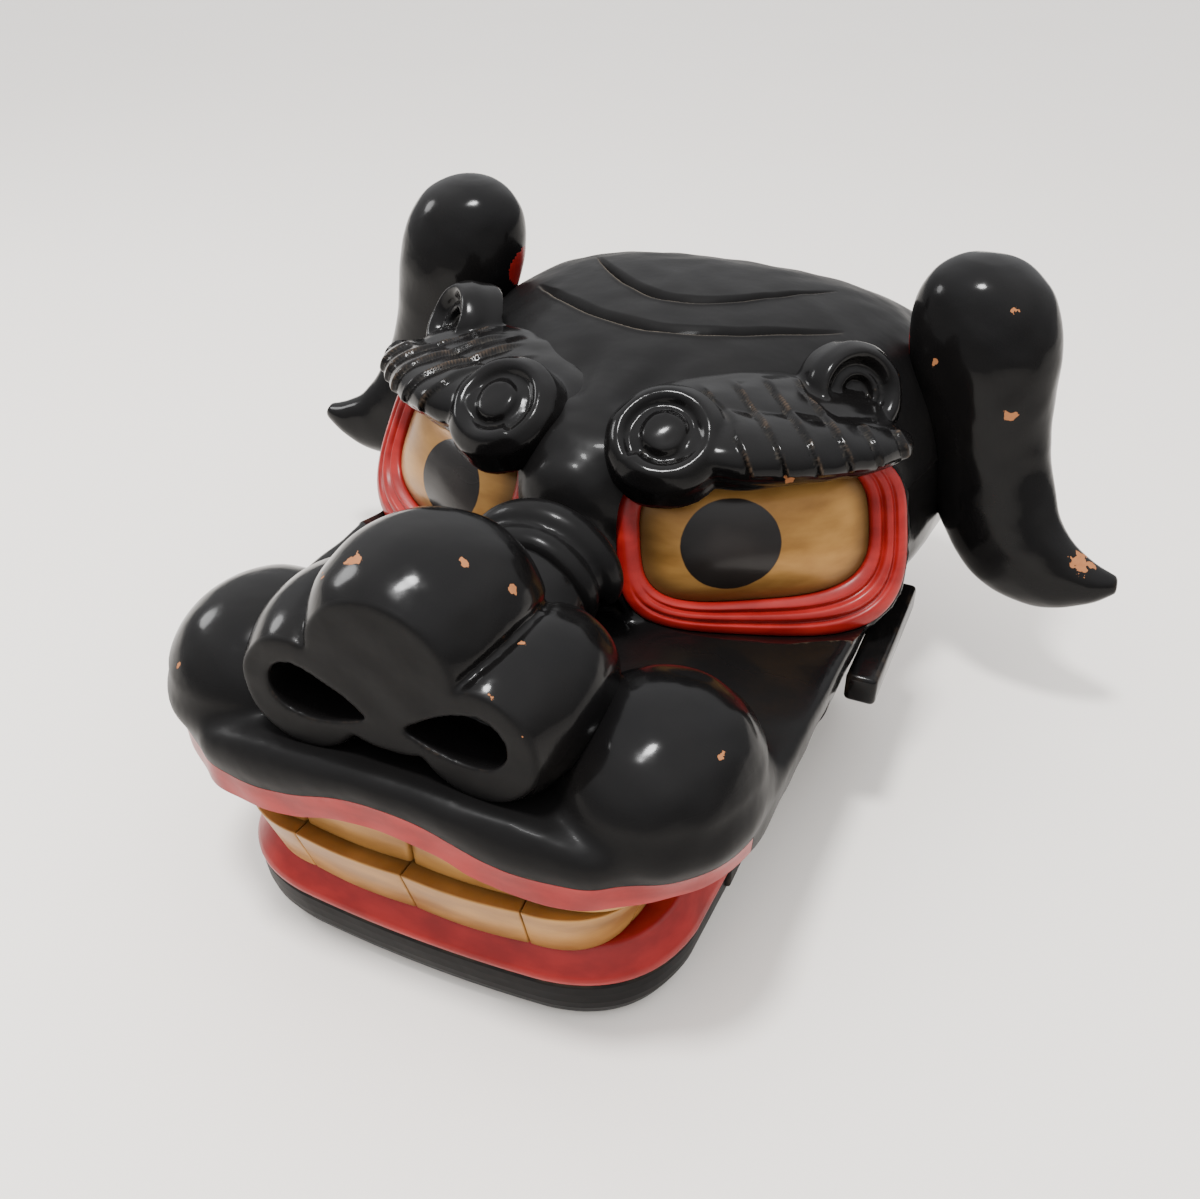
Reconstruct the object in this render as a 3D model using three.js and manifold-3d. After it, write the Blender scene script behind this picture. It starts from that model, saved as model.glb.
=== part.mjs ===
// Carved wooden lion dance head: hollow head, hinged lower jaw, eyes, teeth and ears.
// Millimetres, +Z up, the lion looks along -Y and its left side is +X.
import * as THREE from 'three';
import { mergeVertices } from 'three/addons/utils/BufferGeometryUtils.js';
import Module from 'manifold-3d';

const wasm = await Module();
wasm.setup();

// Driving dimensions
const GAP = 0.3;
const BACK_Y = 237;
const SIDE_EDGE_Z = 92;
const NOSE_FACE_Y = -224;
const HINGE_Y = 58;
const HINGE_Z = 92;
const PIN_RADIUS = 6;
const FAR = 300;

// Facets: points round each kind of form
const AROUND = 24;
const [EGG_AROUND, EGG_ALONG] = [12, 8];
const [BAR_SIDES, BAR_STEPS, STRAND_SIDES, STRAND_STEPS] = [10, 7, 5, 4];
const [ARCH_SIDES, ARCH_STEPS] = [6, 16];
const CRESCENT_STEPS = 6;
const [CURL_AROUND, PIN_SIDES, CORNER_STEPS, WAVE_STEPS] = [12, 16, 6, 18];

// Skull: one row for each section across the head, front to back
const SKULL_CENTRE_Z = 120;
const SKULL_BASE_Z = 55;
const SKULL_SQUARENESS = 2.7;
const skullRows = [
  { y: -52, half: 20, top: 196 },
  { y: -42, half: 42, top: 211 },
  { y: -20, half: 68, top: 221 },
  { y: 10, half: 102, top: 228 },
  { y: 40, half: 128, top: 233.5 },
  { y: 70, half: 148, top: 237.5 },
  { y: 100, half: 158, top: 240.5 },
  { y: 140, half: 165, top: 243 },
  { y: 180, half: 168, top: 240 },
  { y: 210, half: 168, top: 232 },
  { y: BACK_Y, half: 167, top: 221 },
];
// Muzzle: sections from the front of the lip back into the skull
const MUZZLE_CENTRE_Z = 122;
const MUZZLE_BASE_Z = 55;
const MUZZLE_SQUARENESS = 2.8;
const muzzleRows = [
  { y: -237, half: 62, top: 139 },
  { y: -233, half: 84, top: 144 },
  { y: -224, half: 105, top: 144 },
  { y: -212, half: 124, top: 142 },
  { y: -198, half: 138, top: 141 },
  { y: -180, half: 146, top: 140 },
  { y: -150, half: 149, top: 137 },
  { y: -110, half: 150, top: 130 },
  { y: -60, half: 151, top: 124 },
  { y: 70, half: 154, top: 124 },
];

// Hollow of the head, open at the back and below, low under the eyes
const HOLLOW_CENTRE_Z = 90;
const HOLLOW_BASE_Z = 40;
const HOLLOW_SQUARENESS = 2.8;
const hollowRows = [
  { y: -213, half: 80, top: 132 },
  { y: -192, half: 116, top: 139 },
  { y: -150, half: 134, top: 128 },
  { y: -115, half: 130, top: 116 },
  { y: -70, half: 84, top: 104 },
  { y: -35, half: 60, top: 104 },
  { y: 0, half: 58, top: 122 },
  { y: 34, half: 74, top: 180 },
  { y: 60, half: 112, top: 214 },
  { y: 90, half: 138, top: 225 },
  { y: 140, half: 152, top: 229 },
  { y: 190, half: 155, top: 224 },
  { y: BACK_Y + 5, half: 154, top: 206 },
];
const HINGE_ROOM = { half: 139, innerX: 100, fromY: 34, toY: 110, top: 116 };

// Lower edge of the lip and sides, seen from the front
const lipWave = [
  { x: 0, z: 116, red: 17 },
  { x: 22, z: 114, red: 17 },
  { x: 46, z: 107, red: 16 },
  { x: 76, z: 103.5, red: 17 },
  { x: 110, z: 105, red: 15 },
  { x: 150, z: 111, red: 9 },
  { x: 200, z: 111, red: 9 },
];
const WAVE_END = lipWave.at(-1).x;
const LIP_BACK_Y = -176;
const LIP_TRIM_Y = -60;

// Rounded forms fused into the head; mirrored forms stand on both sides
const roundForms = [
  { name: 'cheek', mirrored: true, at: [101, -169, 134], radii: [48, 54, 44], turn: [0, 0, 0] },
  { name: 'nose bridge', mirrored: false, at: [0, -100, 150], radii: [34, 80, 34], turn: [0.12, 0, 0] },
  { name: 'nose root', mirrored: false, at: [0, -34, 174], radii: [37, 28, 40], turn: [0.4, 0, 0] },
];
const noseForms = [
  { name: 'nose ball', mirrored: false, at: [0, -184, 193], radii: [52, 56, 49], turn: [0, 0, 0] },
  { name: 'nose wing', mirrored: true, at: [45, -188, 172], radii: [37, 54, 34], turn: [0, 0, -0.15] },
];
const archRows = [
  { y: -75, radius: 36, tube: 9.5 },
  { y: -91, radius: 31, tube: 8 },
];
const ARCH_Z = 151;

// Nostril pockets: a round end and a tip that points to the middle
const NOSTRIL = { x: 44, z: 173, radius: 13, tipX: 8, tipZ: 168, depth: 26, clear: 20 };
const NOSTRIL_STEPS = 5;

// Brow: a flattened bar over each eye, with a shelf behind it, strands and two curls
const BROW_FLAT = 0.6;
const browBar = [
  { x: 30, y: -14, z: 208, radius: 22 },
  { x: 60, y: -13, z: 212, radius: 26 },
  { x: 90, y: -3, z: 211, radius: 27 },
  { x: 121, y: 22, z: 208, radius: 25 },
  { x: 150, y: 54, z: 203, radius: 19 },
];
const browShelf = { mirrored: false, at: [74, 16, 211], radii: [76, 45, 18], turn: [0.2, 0, 0.54] };
const STRANDS = 3;
const STRAND = { radius: 7, sunk: 2, first: 0.4, last: 0.72, slant: 0.18, fromAngle: 120, toAngle: -45 };
const curlProfile = [
  { radius: 0, height: 6 },
  { radius: 8, height: 5 },
  { radius: 13, height: 0 },
  { radius: 17, height: 1 },
  { radius: 22, height: 5 },
  { radius: 27, height: 2 },
  { radius: 30, height: -6 },
  { radius: 30, height: -22 },
  { radius: 0, height: -22 },
];
const curls = [
  { name: 'inner', at: [46, -35, 224], facing: [0.06, -0.74, 0.67], scale: 1 },
  { name: 'outer', at: [121, 55, 224], facing: [0.6, -0.62, 0.5], scale: 1 },
];

// Crown: two shallow crescent steps cut across the top of the skull
const crescents = [
  { name: 'front', middleY: 62, endX: 96, endY: 120, depth: 5 },
  { name: 'rear', middleY: 100, endX: 77, endY: 170, depth: 5 },
];

// Eye: a barrel-shaped ball in a ridged rim, on a plane turned outwards and tilted up
const EYE_AT = new THREE.Vector3(89, -5, 164);
const EYE_TURN = THREE.MathUtils.degToRad(32);
const EYE_TILT = THREE.MathUtils.degToRad(25);
const EYE_POCKET = 10;
const [BOSS_GROW, BOSS_DEPTH, BOSS_TAPER] = [4, 60, 0.86];
const [EYE_CLEAR, RIM_HEIGHT] = [24, 6];
const EYE_SQUARENESS = 3.1;
const EYE_AROUND = 24;
const BALL = { left: -61, right: 62, lowLeft: -36, lowRight: -37, high: 37 };
const RIM = { left: -74, right: 83, lowLeft: -44, lowRight: -66, high: 44 };
const rimProfile = [
  { inward: 0, height: -EYE_POCKET },
  { inward: 0, height: 1 },
  { inward: 0.18, height: 6 },
  { inward: 0.34, height: 1.5 },
  { inward: 0.52, height: 5 },
  { inward: 0.66, height: 1.5 },
  { inward: 0.84, height: 5 },
  { inward: 1, height: 3 },
  { inward: 1, height: -EYE_POCKET },
];
const ballProfile = [
  { spread: 1, height: -EYE_POCKET },
  { spread: 1, height: 1 },
  { spread: 0.9, height: 6 },
  { spread: 0.74, height: 10.5 },
  { spread: 0.5, height: 14 },
  { spread: 0.25, height: 15.6 },
];

// Teeth: arcs of blocks behind the lips
const TEETH_CORNER = 46;
const upperTeeth = {
  frontY: -217, half: 116, backY: -130, low: 79, high: 124, thick: 12, lean: 3, pitch: 62, notch: 3,
};
const lowerTeeth = {
  frontY: -221, half: 109, backY: -120, low: 46, high: 77.5, thick: 14, lean: 10, pitch: 58, notch: 3,
};

// Lower jaw: rounded outline, one row for each height
const JAW_SHIFT = -3;
const JAW = { frontY: -215, half: 122, rearHalf: 131, rearY: 92, corner: 56, floor: 15, wall: 14 };
const jawHullRows = [
  { z: 0, inset: 11 },
  { z: 6, inset: 4.5 },
  { z: 14, inset: 1 },
  { z: 29, inset: 0 },
];
const jawLipRows = [
  { z: 29 + GAP, inset: -1 },
  { z: 34, inset: -1 },
  { z: 46 - GAP, inset: 11 },
];
const JAW_SIDE = { fromY: -118, top: 80 };
const ARM = { innerX: 116, outerX: 131, radius: 18, front: 22 };

// Ear: sections along a spine that runs down the side of the head and out to a tip
const EAR_AROUND = 12;
const earRows = [
  { x: 165, y: 160, z: 280, wide: 6, thick: 5, lean: 0 },
  { x: 166, y: 160, z: 277, wide: 18, thick: 15, lean: 0 },
  { x: 167, y: 159, z: 268, wide: 31, thick: 26, lean: 0 },
  { x: 169, y: 158, z: 252, wide: 40, thick: 33, lean: 0 },
  { x: 172, y: 155, z: 230, wide: 43, thick: 36, lean: 2 },
  { x: 177, y: 151, z: 202, wide: 40, thick: 34, lean: 8 },
  { x: 185, y: 146, z: 172, wide: 36, thick: 29, lean: 16 },
  { x: 196, y: 140, z: 142, wide: 35, thick: 24, lean: 32 },
  { x: 213, y: 134, z: 118, wide: 33, thick: 21, lean: 54 },
  { x: 236, y: 129, z: 106, wide: 25, thick: 17, lean: 74 },
  { x: 258, y: 125, z: 106, wide: 14, thick: 12, lean: 92 },
  { x: 275, y: 123, z: 110, wide: 4, thick: 5, lean: 100 },
];
const EAR_DROP = { left: 8, right: 0 };
const EAR_HOLLOW = { at: [176, 186, 214], radii: [26, 26, 46], turn: [0, 0.16, 0] };
const PEG = { y: 152, z: 196, radius: 6, fromX: 136, toX: 186 };

// Batten on each side that covers the end of the jaw pin
const BATTEN = { innerX: 150, outerX: 167, fromY: -24, toY: 78, low: 84, high: 101 };
const PIN = { fromX: 108, toX: 160 };

const SIDES = [{ word: 'left', sign: 1 }, { word: 'right', sign: -1 }];

function lacquer(color, roughness, metalness = 0) {
  return new THREE.MeshStandardMaterial({ color, roughness, metalness });
}

// A closed solid for joins and cuts, made from any closed geometry
function solid(geometry) {
  const bare = geometry.clone();
  bare.deleteAttribute('normal');
  bare.deleteAttribute('uv');
  const merged = mergeVertices(bare, 1e-3);
  const made = new wasm.Manifold(new wasm.Mesh({
    numProp: 3,
    vertProperties: new Float32Array(merged.attributes.position.array),
    triVerts: new Uint32Array(merged.index.array),
  }));
  return made;
}

function geometryOf(made) {
  const { vertProperties, triVerts } = made.getMesh();
  const geometry = new THREE.BufferGeometry();
  geometry.setAttribute('position', new THREE.BufferAttribute(new Float32Array(vertProperties), 3));
  geometry.setIndex(new THREE.BufferAttribute(new Uint32Array(triVerts), 1));
  geometry.computeVertexNormals();
  return geometry;
}

function join(solids) {
  return solids.reduce((sum, next) => sum.add(next));
}

// Skin over a row of rings, each a closed loop of the same number of points
function loft(rings, closedRow = false) {
  const count = rings[0].length;
  const rows = rings.length;
  const points = rings.flat();
  const faces = [];
  const spans = closedRow ? rows : rows - 1;
  for (let row = 0; row < spans; row += 1) {
    const next = (row + 1) % rows;
    for (let i = 0; i < count; i += 1) {
      const j = (i + 1) % count;
      const [a, b] = [row * count + i, row * count + j];
      const [c, d] = [next * count + i, next * count + j];
      faces.push(a, b, d, a, d, c);
    }
  }
  if (!closedRow) {
    [0, rows - 1].forEach((row) => {
      const middle = new THREE.Vector3();
      rings[row].forEach((point) => middle.addScaledVector(point, 1 / count));
      const hub = points.push(middle) - 1;
      for (let i = 0; i < count; i += 1) {
        const [a, b] = [row * count + i, row * count + ((i + 1) % count)];
        faces.push(...(row === 0 ? [hub, b, a] : [hub, a, b]));
      }
    });
  }
  const geometry = new THREE.BufferGeometry().setFromPoints(points);
  geometry.setIndex(faces);
  const made = solid(geometry);
  return made.volume() > 0 ? made : solid(flipped(geometry));
}

function flipped(geometry) {
  const turned = geometry.clone();
  const order = Array.from(geometry.index.array);
  for (let i = 0; i < order.length; i += 3) {
    [order[i], order[i + 1]] = [order[i + 1], order[i]];
  }
  turned.setIndex(order);
  return turned;
}

function mirrored(made) {
  const geometry = geometryOf(made);
  geometry.scale(-1, 1, 1);
  return solid(flipped(geometry));
}

function bothSides(made) {
  return made.add(mirrored(made));
}

function superPower(value, squareness) {
  return Math.sign(value) * Math.abs(value) ** (2 / squareness);
}

// One section across the head: an upright rounded box
function crossSection(row, centreZ, baseZ, squareness, grow) {
  const ring = [];
  for (let i = 0; i < AROUND; i += 1) {
    const angle = (i / AROUND) * Math.PI * 2;
    const rise = superPower(Math.sin(angle), squareness);
    const reach = rise > 0 ? row.top + grow - centreZ : centreZ - baseZ;
    const x = (row.half + grow) * superPower(Math.cos(angle), squareness);
    ring.push(new THREE.Vector3(x, row.y, centreZ + reach * rise));
  }
  return ring;
}

function skull(grow = 0) {
  return loft(skullRows.map((row) => crossSection(row, SKULL_CENTRE_Z, SKULL_BASE_Z, SKULL_SQUARENESS, grow)));
}

function muzzle() {
  return loft(muzzleRows.map((row) => crossSection(row, MUZZLE_CENTRE_Z, MUZZLE_BASE_Z, MUZZLE_SQUARENESS, 0)));
}

function roundForm({ at, radii, turn, mirrored: twice }) {
  const geometry = new THREE.SphereGeometry(1, EGG_AROUND, EGG_ALONG);
  geometry.scale(...radii);
  geometry.rotateX(turn[0]);
  geometry.rotateY(turn[1]);
  geometry.rotateZ(turn[2]);
  geometry.translate(...at);
  const made = solid(geometry);
  return twice ? bothSides(made) : made;
}

function block(x0, x1, y0, y1, z0, z1) {
  const geometry = new THREE.BoxGeometry(x1 - x0, y1 - y0, z1 - z0);
  geometry.translate((x0 + x1) / 2, (y0 + y1) / 2, (z0 + z1) / 2);
  return solid(geometry);
}

// Round bar along X
function crossBar(x0, x1, y, z, radius) {
  const geometry = new THREE.CylinderGeometry(radius, radius, x1 - x0, PIN_SIDES);
  geometry.rotateZ(Math.PI / 2);
  geometry.translate((x0 + x1) / 2, y, z);
  return solid(geometry);
}

// Everything below the lip line, or below the top of the red edge moved down by drop
function belowLip(overRed, drop = 0) {
  const rise = (row) => row.z + (overRed ? row.red - drop : 0);
  const right = lipWave.map((row) => new THREE.Vector2(row.x, rise(row)));
  const left = right.slice(1).reverse().map(({ x, y }) => new THREE.Vector2(-x, y));
  const curve = new THREE.SplineCurve([...left, ...right]);
  const corners = [new THREE.Vector2(WAVE_END, 0), new THREE.Vector2(-WAVE_END, 0)];
  const shape = new THREE.Shape([...curve.getPoints(WAVE_STEPS), ...corners]);
  const geometry = new THREE.ExtrudeGeometry(shape, { depth: 2 * FAR, bevelEnabled: false });
  geometry.rotateX(Math.PI / 2);
  geometry.translate(0, FAR, 0);
  return solid(geometry);
}

// Tapered bar through a short table of points; flat below 1 makes it lower than wide
function taperedBar(rows, sides, steps, flat = 1) {
  const path = new THREE.CatmullRomCurve3(rows.map(({ x, y, z }) => new THREE.Vector3(x, y, z)));
  const thick = new THREE.CatmullRomCurve3(rows.map(({ radius }, i) => new THREE.Vector3(i, radius, 0)));
  const frames = path.computeFrenetFrames(steps);
  const rings = [];
  for (let step = 0; step <= steps; step += 1) {
    const along = step / steps;
    const middle = path.getPointAt(along);
    const rounding = Math.min(1, 0.35 + 4 * Math.min(along, 1 - along));
    const radius = thick.getPoint(along).y * rounding;
    const ring = [];
    for (let i = 0; i < sides; i += 1) {
      const angle = (i / sides) * Math.PI * 2;
      const offset = frames.normals[step].clone().multiplyScalar(Math.cos(angle) * radius);
      offset.addScaledVector(frames.binormals[step], Math.sin(angle) * radius);
      offset.z *= flat;
      ring.push(offset.add(middle));
    }
    rings.push(ring);
  }
  return loft(rings);
}

function curl({ at, facing, scale }) {
  const profile = curlProfile.map(({ radius, height }) => new THREE.Vector2(radius * scale, height * scale));
  const geometry = new THREE.LatheGeometry(profile.reverse(), CURL_AROUND);
  const up = new THREE.Vector3(0, 1, 0);
  const turn = new THREE.Quaternion().setFromUnitVectors(up, new THREE.Vector3(...facing).normalize());
  geometry.applyQuaternion(turn);
  geometry.translate(...at);
  const made = solid(geometry);
  return made.volume() > 0 ? made : solid(flipped(geometry));
}

// One strand of the brow, wound over the bar from its top to its lower front
function strand(index) {
  const path = new THREE.CatmullRomCurve3(browBar.map(({ x, y, z }) => new THREE.Vector3(x, y, z)));
  const start = THREE.MathUtils.lerp(STRAND.first, STRAND.last, index / (STRANDS - 1));
  const rows = [0, 0.33, 0.67, 1].map((share) => {
    const along = start + STRAND.slant * share;
    const angle = THREE.MathUtils.degToRad(THREE.MathUtils.lerp(STRAND.fromAngle, STRAND.toAngle, share));
    const tangent = path.getTangentAt(along);
    const out = new THREE.Vector3(tangent.y, -tangent.x, 0).normalize();
    const row = THREE.MathUtils.lerp(browBar[2].radius, browBar[4].radius, index / (STRANDS - 1));
    const reach = row - STRAND.sunk;
    const point = path.getPointAt(along);
    point.addScaledVector(out, Math.cos(angle) * reach);
    point.z += Math.sin(angle) * reach * BROW_FLAT;
    return { x: point.x, y: point.y, z: point.z, radius: STRAND.radius };
  });
  return taperedBar(rows, STRAND_SIDES, STRAND_STEPS);
}

function brow() {
  const bar = taperedBar(browBar, BAR_SIDES, BAR_STEPS, BROW_FLAT);
  const pieces = [bar, roundForm(browShelf), ...curls.map(curl)];
  for (let index = 0; index < STRANDS; index += 1) {
    pieces.push(strand(index));
  }
  return join(pieces);
}

// Rolls of skin that arch over the bridge behind the nose
function noseArch({ y, radius, tube }) {
  const geometry = new THREE.TorusGeometry(radius, tube, ARCH_SIDES, ARCH_STEPS);
  geometry.rotateX(Math.PI / 2);
  geometry.translate(0, y, ARCH_Z);
  return solid(geometry);
}

function nostril() {
  const { x, z, radius, tipX, tipZ, depth } = NOSTRIL;
  const shape = new THREE.Shape();
  shape.moveTo(tipX, tipZ);
  shape.quadraticCurveTo(x - radius, z - radius - 2, x, z - radius);
  shape.absarc(x, z, radius, -Math.PI / 2, Math.PI / 2, false);
  shape.quadraticCurveTo(x - radius * 1.4, z + radius - 2, tipX, tipZ);
  const settings = { depth: depth + NOSTRIL.clear, bevelEnabled: false, curveSegments: NOSTRIL_STEPS };
  const geometry = new THREE.ExtrudeGeometry(shape, settings);
  geometry.rotateX(Math.PI / 2);
  geometry.translate(0, NOSE_FACE_Y + depth, 0);
  return bothSides(solid(geometry));
}

// Crescent step in the crown, cut by a thin bent wedge
function crescentCut({ middleY, endX, endY, depth }) {
  const path = new THREE.QuadraticBezierCurve(
    new THREE.Vector2(-endX, endY),
    new THREE.Vector2(0, 2 * middleY - endY),
    new THREE.Vector2(endX, endY),
  );
  const rings = path.getPoints(CRESCENT_STEPS).map((point, i, all) => {
    const share = 1 - Math.abs((2 * i) / (all.length - 1) - 1);
    const deep = depth * Math.min(1, 0.15 + 1.5 * share);
    const crown = crownHeight(point.x, point.y);
    const behind = 4 + 18 * Math.min(1, 0.1 + share);
    return [
      new THREE.Vector3(point.x, point.y, crown - deep),
      new THREE.Vector3(point.x, point.y + behind, crownHeight(point.x, point.y + behind) + 0.5),
      new THREE.Vector3(point.x, point.y + behind, crown + 30),
      new THREE.Vector3(point.x, point.y, crown + 30),
    ];
  });
  return loft(rings);
}

// Height of the smooth crown over a point of the plan
function crownHeight(x, y) {
  const after = Math.max(1, skullRows.findIndex((row) => row.y >= y));
  const [a, b] = [skullRows[after - 1], skullRows[after]];
  const share = (y - a.y) / (b.y - a.y);
  const half = a.half + (b.half - a.half) * share;
  const top = a.top + (b.top - a.top) * share;
  const reach = Math.max(0, 1 - Math.abs(x / half) ** SKULL_SQUARENESS) ** (1 / SKULL_SQUARENESS);
  return SKULL_CENTRE_Z + (top - SKULL_CENTRE_Z) * reach;
}

// Eye frame: along the eye, up the eye, out of the eye
function eyePlace(along, up, out) {
  const point = new THREE.Vector3(along, -out, up);
  point.applyAxisAngle(new THREE.Vector3(1, 0, 0), -EYE_TILT);
  point.applyAxisAngle(new THREE.Vector3(0, 0, 1), EYE_TURN);
  return point.add(EYE_AT);
}

// Point on an eye outline, a rounded box with its own reach on each side
function eyeOutline({ left, right, lowLeft, lowRight, high }, angle, grow = 0) {
  const along = superPower(Math.cos(angle), EYE_SQUARENESS);
  const up = superPower(Math.sin(angle), EYE_SQUARENESS);
  const low = THREE.MathUtils.lerp(lowLeft, lowRight, (along + 1) / 2);
  return [
    along * ((along > 0 ? right : -left) + grow),
    up * ((up > 0 ? high : -low) + grow),
  ];
}

function eyeRing(pointAt) {
  const ring = [];
  for (let i = 0; i < EYE_AROUND; i += 1) {
    ring.push(pointAt((i / EYE_AROUND) * Math.PI * 2));
  }
  return ring;
}

function eyeRim() {
  const rings = rimProfile.map(({ inward, height }) => eyeRing((angle) => {
    const [outerAlong, outerUp] = eyeOutline(RIM, angle);
    const [innerAlong, innerUp] = eyeOutline(BALL, angle, GAP);
    const mix = THREE.MathUtils.lerp;
    return eyePlace(mix(outerAlong, innerAlong, inward), mix(outerUp, innerUp, inward), height);
  }));
  return loft(rings, true);
}

function eyeBall(grow = 0) {
  const rings = ballProfile.map(({ spread, height }) => eyeRing((angle) => {
    const [along, up] = eyeOutline(BALL, angle, grow);
    return eyePlace(along * spread, up * spread, height + (height > 0 ? grow : 0));
  }));
  return loft(rings);
}

// Straight block on the eye's outline, from one depth to another
function eyeColumn(outline, grow, from, to, taper = 1) {
  const rings = [[from, taper], [to, 1]].map(([out, scale]) => eyeRing((angle) => {
    const [along, up] = eyeOutline(outline, angle, grow);
    return eyePlace(along * scale, up * scale, out);
  }));
  return loft(rings);
}

// Outline of the jaw or a row of teeth in plan: front, two round corners and two sides
function archOutline(frontY, half, backY, backHalf, corner, inset) {
  const path = new THREE.Path();
  const front = frontY + inset;
  const side = half - inset;
  const bend = Math.max(6, corner - inset);
  path.moveTo(-(backHalf - inset), backY);
  path.lineTo(-side, front + bend);
  path.quadraticCurveTo(-side + bend * 0.12, front + bend * 0.12, -side + bend, front);
  path.quadraticCurveTo(0, front - 6, side - bend, front);
  path.quadraticCurveTo(side - bend * 0.12, front + bend * 0.12, side, front + bend);
  path.lineTo(backHalf - inset, backY);
  return path.getPoints(CORNER_STEPS);
}

function archRing(points, z) {
  return points.map((point) => new THREE.Vector3(point.x, point.y, z));
}

// Band that follows an arch: outer and inner outline with a floor and a top
function archBand(outerRows, wall) {
  const outer = loft(outerRows.map(({ z, points }) => archRing(points, z)));
  const inner = loft([outerRows[0].z - 5, outerRows.at(-1).z + 5].map((z) => archRing(wall, z)));
  return outer.subtract(inner);
}

// Plain band of a row of teeth; a grown one leaves room for it in the wood
function teethBand({ frontY, half, backY, low, high, thick, lean }, grow = 0) {
  const outline = (inset) => archOutline(frontY, half, backY, half + 4, TEETH_CORNER, inset);
  const rows = [{ z: low - grow, points: outline(lean - grow) }, { z: high + grow, points: outline(-grow) }];
  const inner = outline(thick + lean + grow);
  inner[0].y += 5 + grow;
  inner[inner.length - 1].y += 5 + grow;
  return archBand(rows, inner);
}

function teethRow(row) {
  const { frontY, half, backY, low, high, pitch, notch, lean } = row;
  const cut = notch / 2;
  const fronts = [-1.5, -0.5, 0, 0.5, 1.5].map((share) => (
    block(share * pitch - cut, share * pitch + cut, frontY - 20, frontY + notch + lean, low - 2, high + 2)
  ));
  const sides = [frontY + 62, backY - 20].map((y) => (
    bothSides(block(half - notch, half + 20, y - cut, y + cut, low - 2, high + 2))
  ));
  return [...fronts, ...sides].reduce((made, slot) => made.subtract(slot), teethBand(row));
}

function jawOutline(inset) {
  return archOutline(JAW.frontY, JAW.half, JAW.rearY - inset / 2, JAW.rearHalf, JAW.corner, inset);
}

// Jaw hull: a tray with walls at the rear sides and two arms that reach up to the pins
function lowerJaw() {
  const rows = jawHullRows.map(({ z, inset }) => archRing(jawOutline(inset), z));
  const hollow = jawOutline(JAW.wall + 12);
  const tray = loft([JAW.floor, 60].map((z) => archRing(hollow, z)));
  const hull = loft(rows).subtract(tray);
  const side = block(ARM.innerX, ARM.outerX - 5, JAW_SIDE.fromY, JAW.rearY - 4, JAW.floor, JAW_SIDE.top);
  const arm = block(ARM.innerX, ARM.outerX, HINGE_Y - ARM.front, JAW.rearY - 4, JAW.floor, HINGE_Z - 14);
  const eye = crossBar(ARM.innerX, ARM.outerX, HINGE_Y, HINGE_Z, ARM.radius);
  const bore = crossBar(ARM.innerX - 10, ARM.outerX + 10, HINGE_Y, HINGE_Z, PIN_RADIUS + GAP);
  const body = hull.add(bothSides(join([side, arm, eye]).subtract(bore)));
  return body.subtract(teethBand(lowerTeeth, GAP));
}

// Red lip band on the hull, ending where the side walls begin
function jawLip() {
  const rows = jawLipRows.map(({ z, inset }) => ({ z, points: jawOutline(inset) }));
  const band = archBand(rows, jawOutline(JAW.wall + 12));
  const rear = block(-FAR, FAR, JAW_SIDE.fromY - GAP, FAR, 0, FAR);
  return band.subtract(rear).subtract(teethBand(lowerTeeth, GAP));
}

function earRing({ x, y, z, wide, thick, lean }) {
  const tilt = THREE.MathUtils.degToRad(lean);
  const across = new THREE.Vector3(Math.cos(tilt), 0, Math.sin(tilt));
  const ring = [];
  for (let i = 0; i < EAR_AROUND; i += 1) {
    const angle = (i / EAR_AROUND) * Math.PI * 2;
    const point = new THREE.Vector3(x, y - Math.sin(angle) * thick, z);
    ring.push(point.addScaledVector(across, Math.cos(angle) * wide));
  }
  return ring;
}

function ear(drop) {
  const form = loft(earRows.map((row) => earRing({ ...row, z: row.z - drop })));
  const scoop = roundForm({ ...EAR_HOLLOW, mirrored: false });
  const peg = crossBar(PEG.fromX, PEG.toX + GAP, PEG.y, PEG.z, PEG.radius + GAP);
  return form.subtract(scoop).subtract(skull(GAP)).subtract(peg);
}

function earPeg() {
  return crossBar(PEG.fromX, PEG.toX, PEG.y, PEG.z, PEG.radius);
}

function batten() {
  const strip = block(BATTEN.innerX, BATTEN.outerX, BATTEN.fromY, BATTEN.toY, BATTEN.low, BATTEN.high);
  return strip.subtract(crossBar(PIN.fromX, PIN.toX + GAP, HINGE_Y, HINGE_Z, PIN_RADIUS + GAP));
}

function jawPin() {
  return crossBar(PIN.fromX, PIN.toX, HINGE_Y, HINGE_Z, PIN_RADIUS);
}

// Head without its cuts for the eyes, lip, pins and pegs
function headOuter() {
  const noseFace = block(-FAR, FAR, -FAR, NOSE_FACE_Y, 0, FAR);
  const nose = join(noseForms.map(roundForm)).subtract(noseFace).subtract(nostril());
  const boss = bothSides(eyeColumn(RIM, BOSS_GROW, -BOSS_DEPTH, 0, BOSS_TAPER));
  const forms = [skull(), muzzle(), ...roundForms.map(roundForm), ...archRows.map(noseArch), boss];
  const cuts = crescents.map(crescentCut);
  return cuts.reduce((body, cut) => body.subtract(cut), join([...forms, nose]));
}

function headHollow() {
  const rings = hollowRows.map((row) => (
    crossSection(row, HOLLOW_CENTRE_Z, HOLLOW_BASE_Z, HOLLOW_SQUARENESS, 0)
  ));
  const { half, innerX, fromY, toY, top } = HINGE_ROOM;
  return loft(rings).add(bothSides(block(innerX, half, fromY, toY, HOLLOW_BASE_Z, top)));
}

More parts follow.
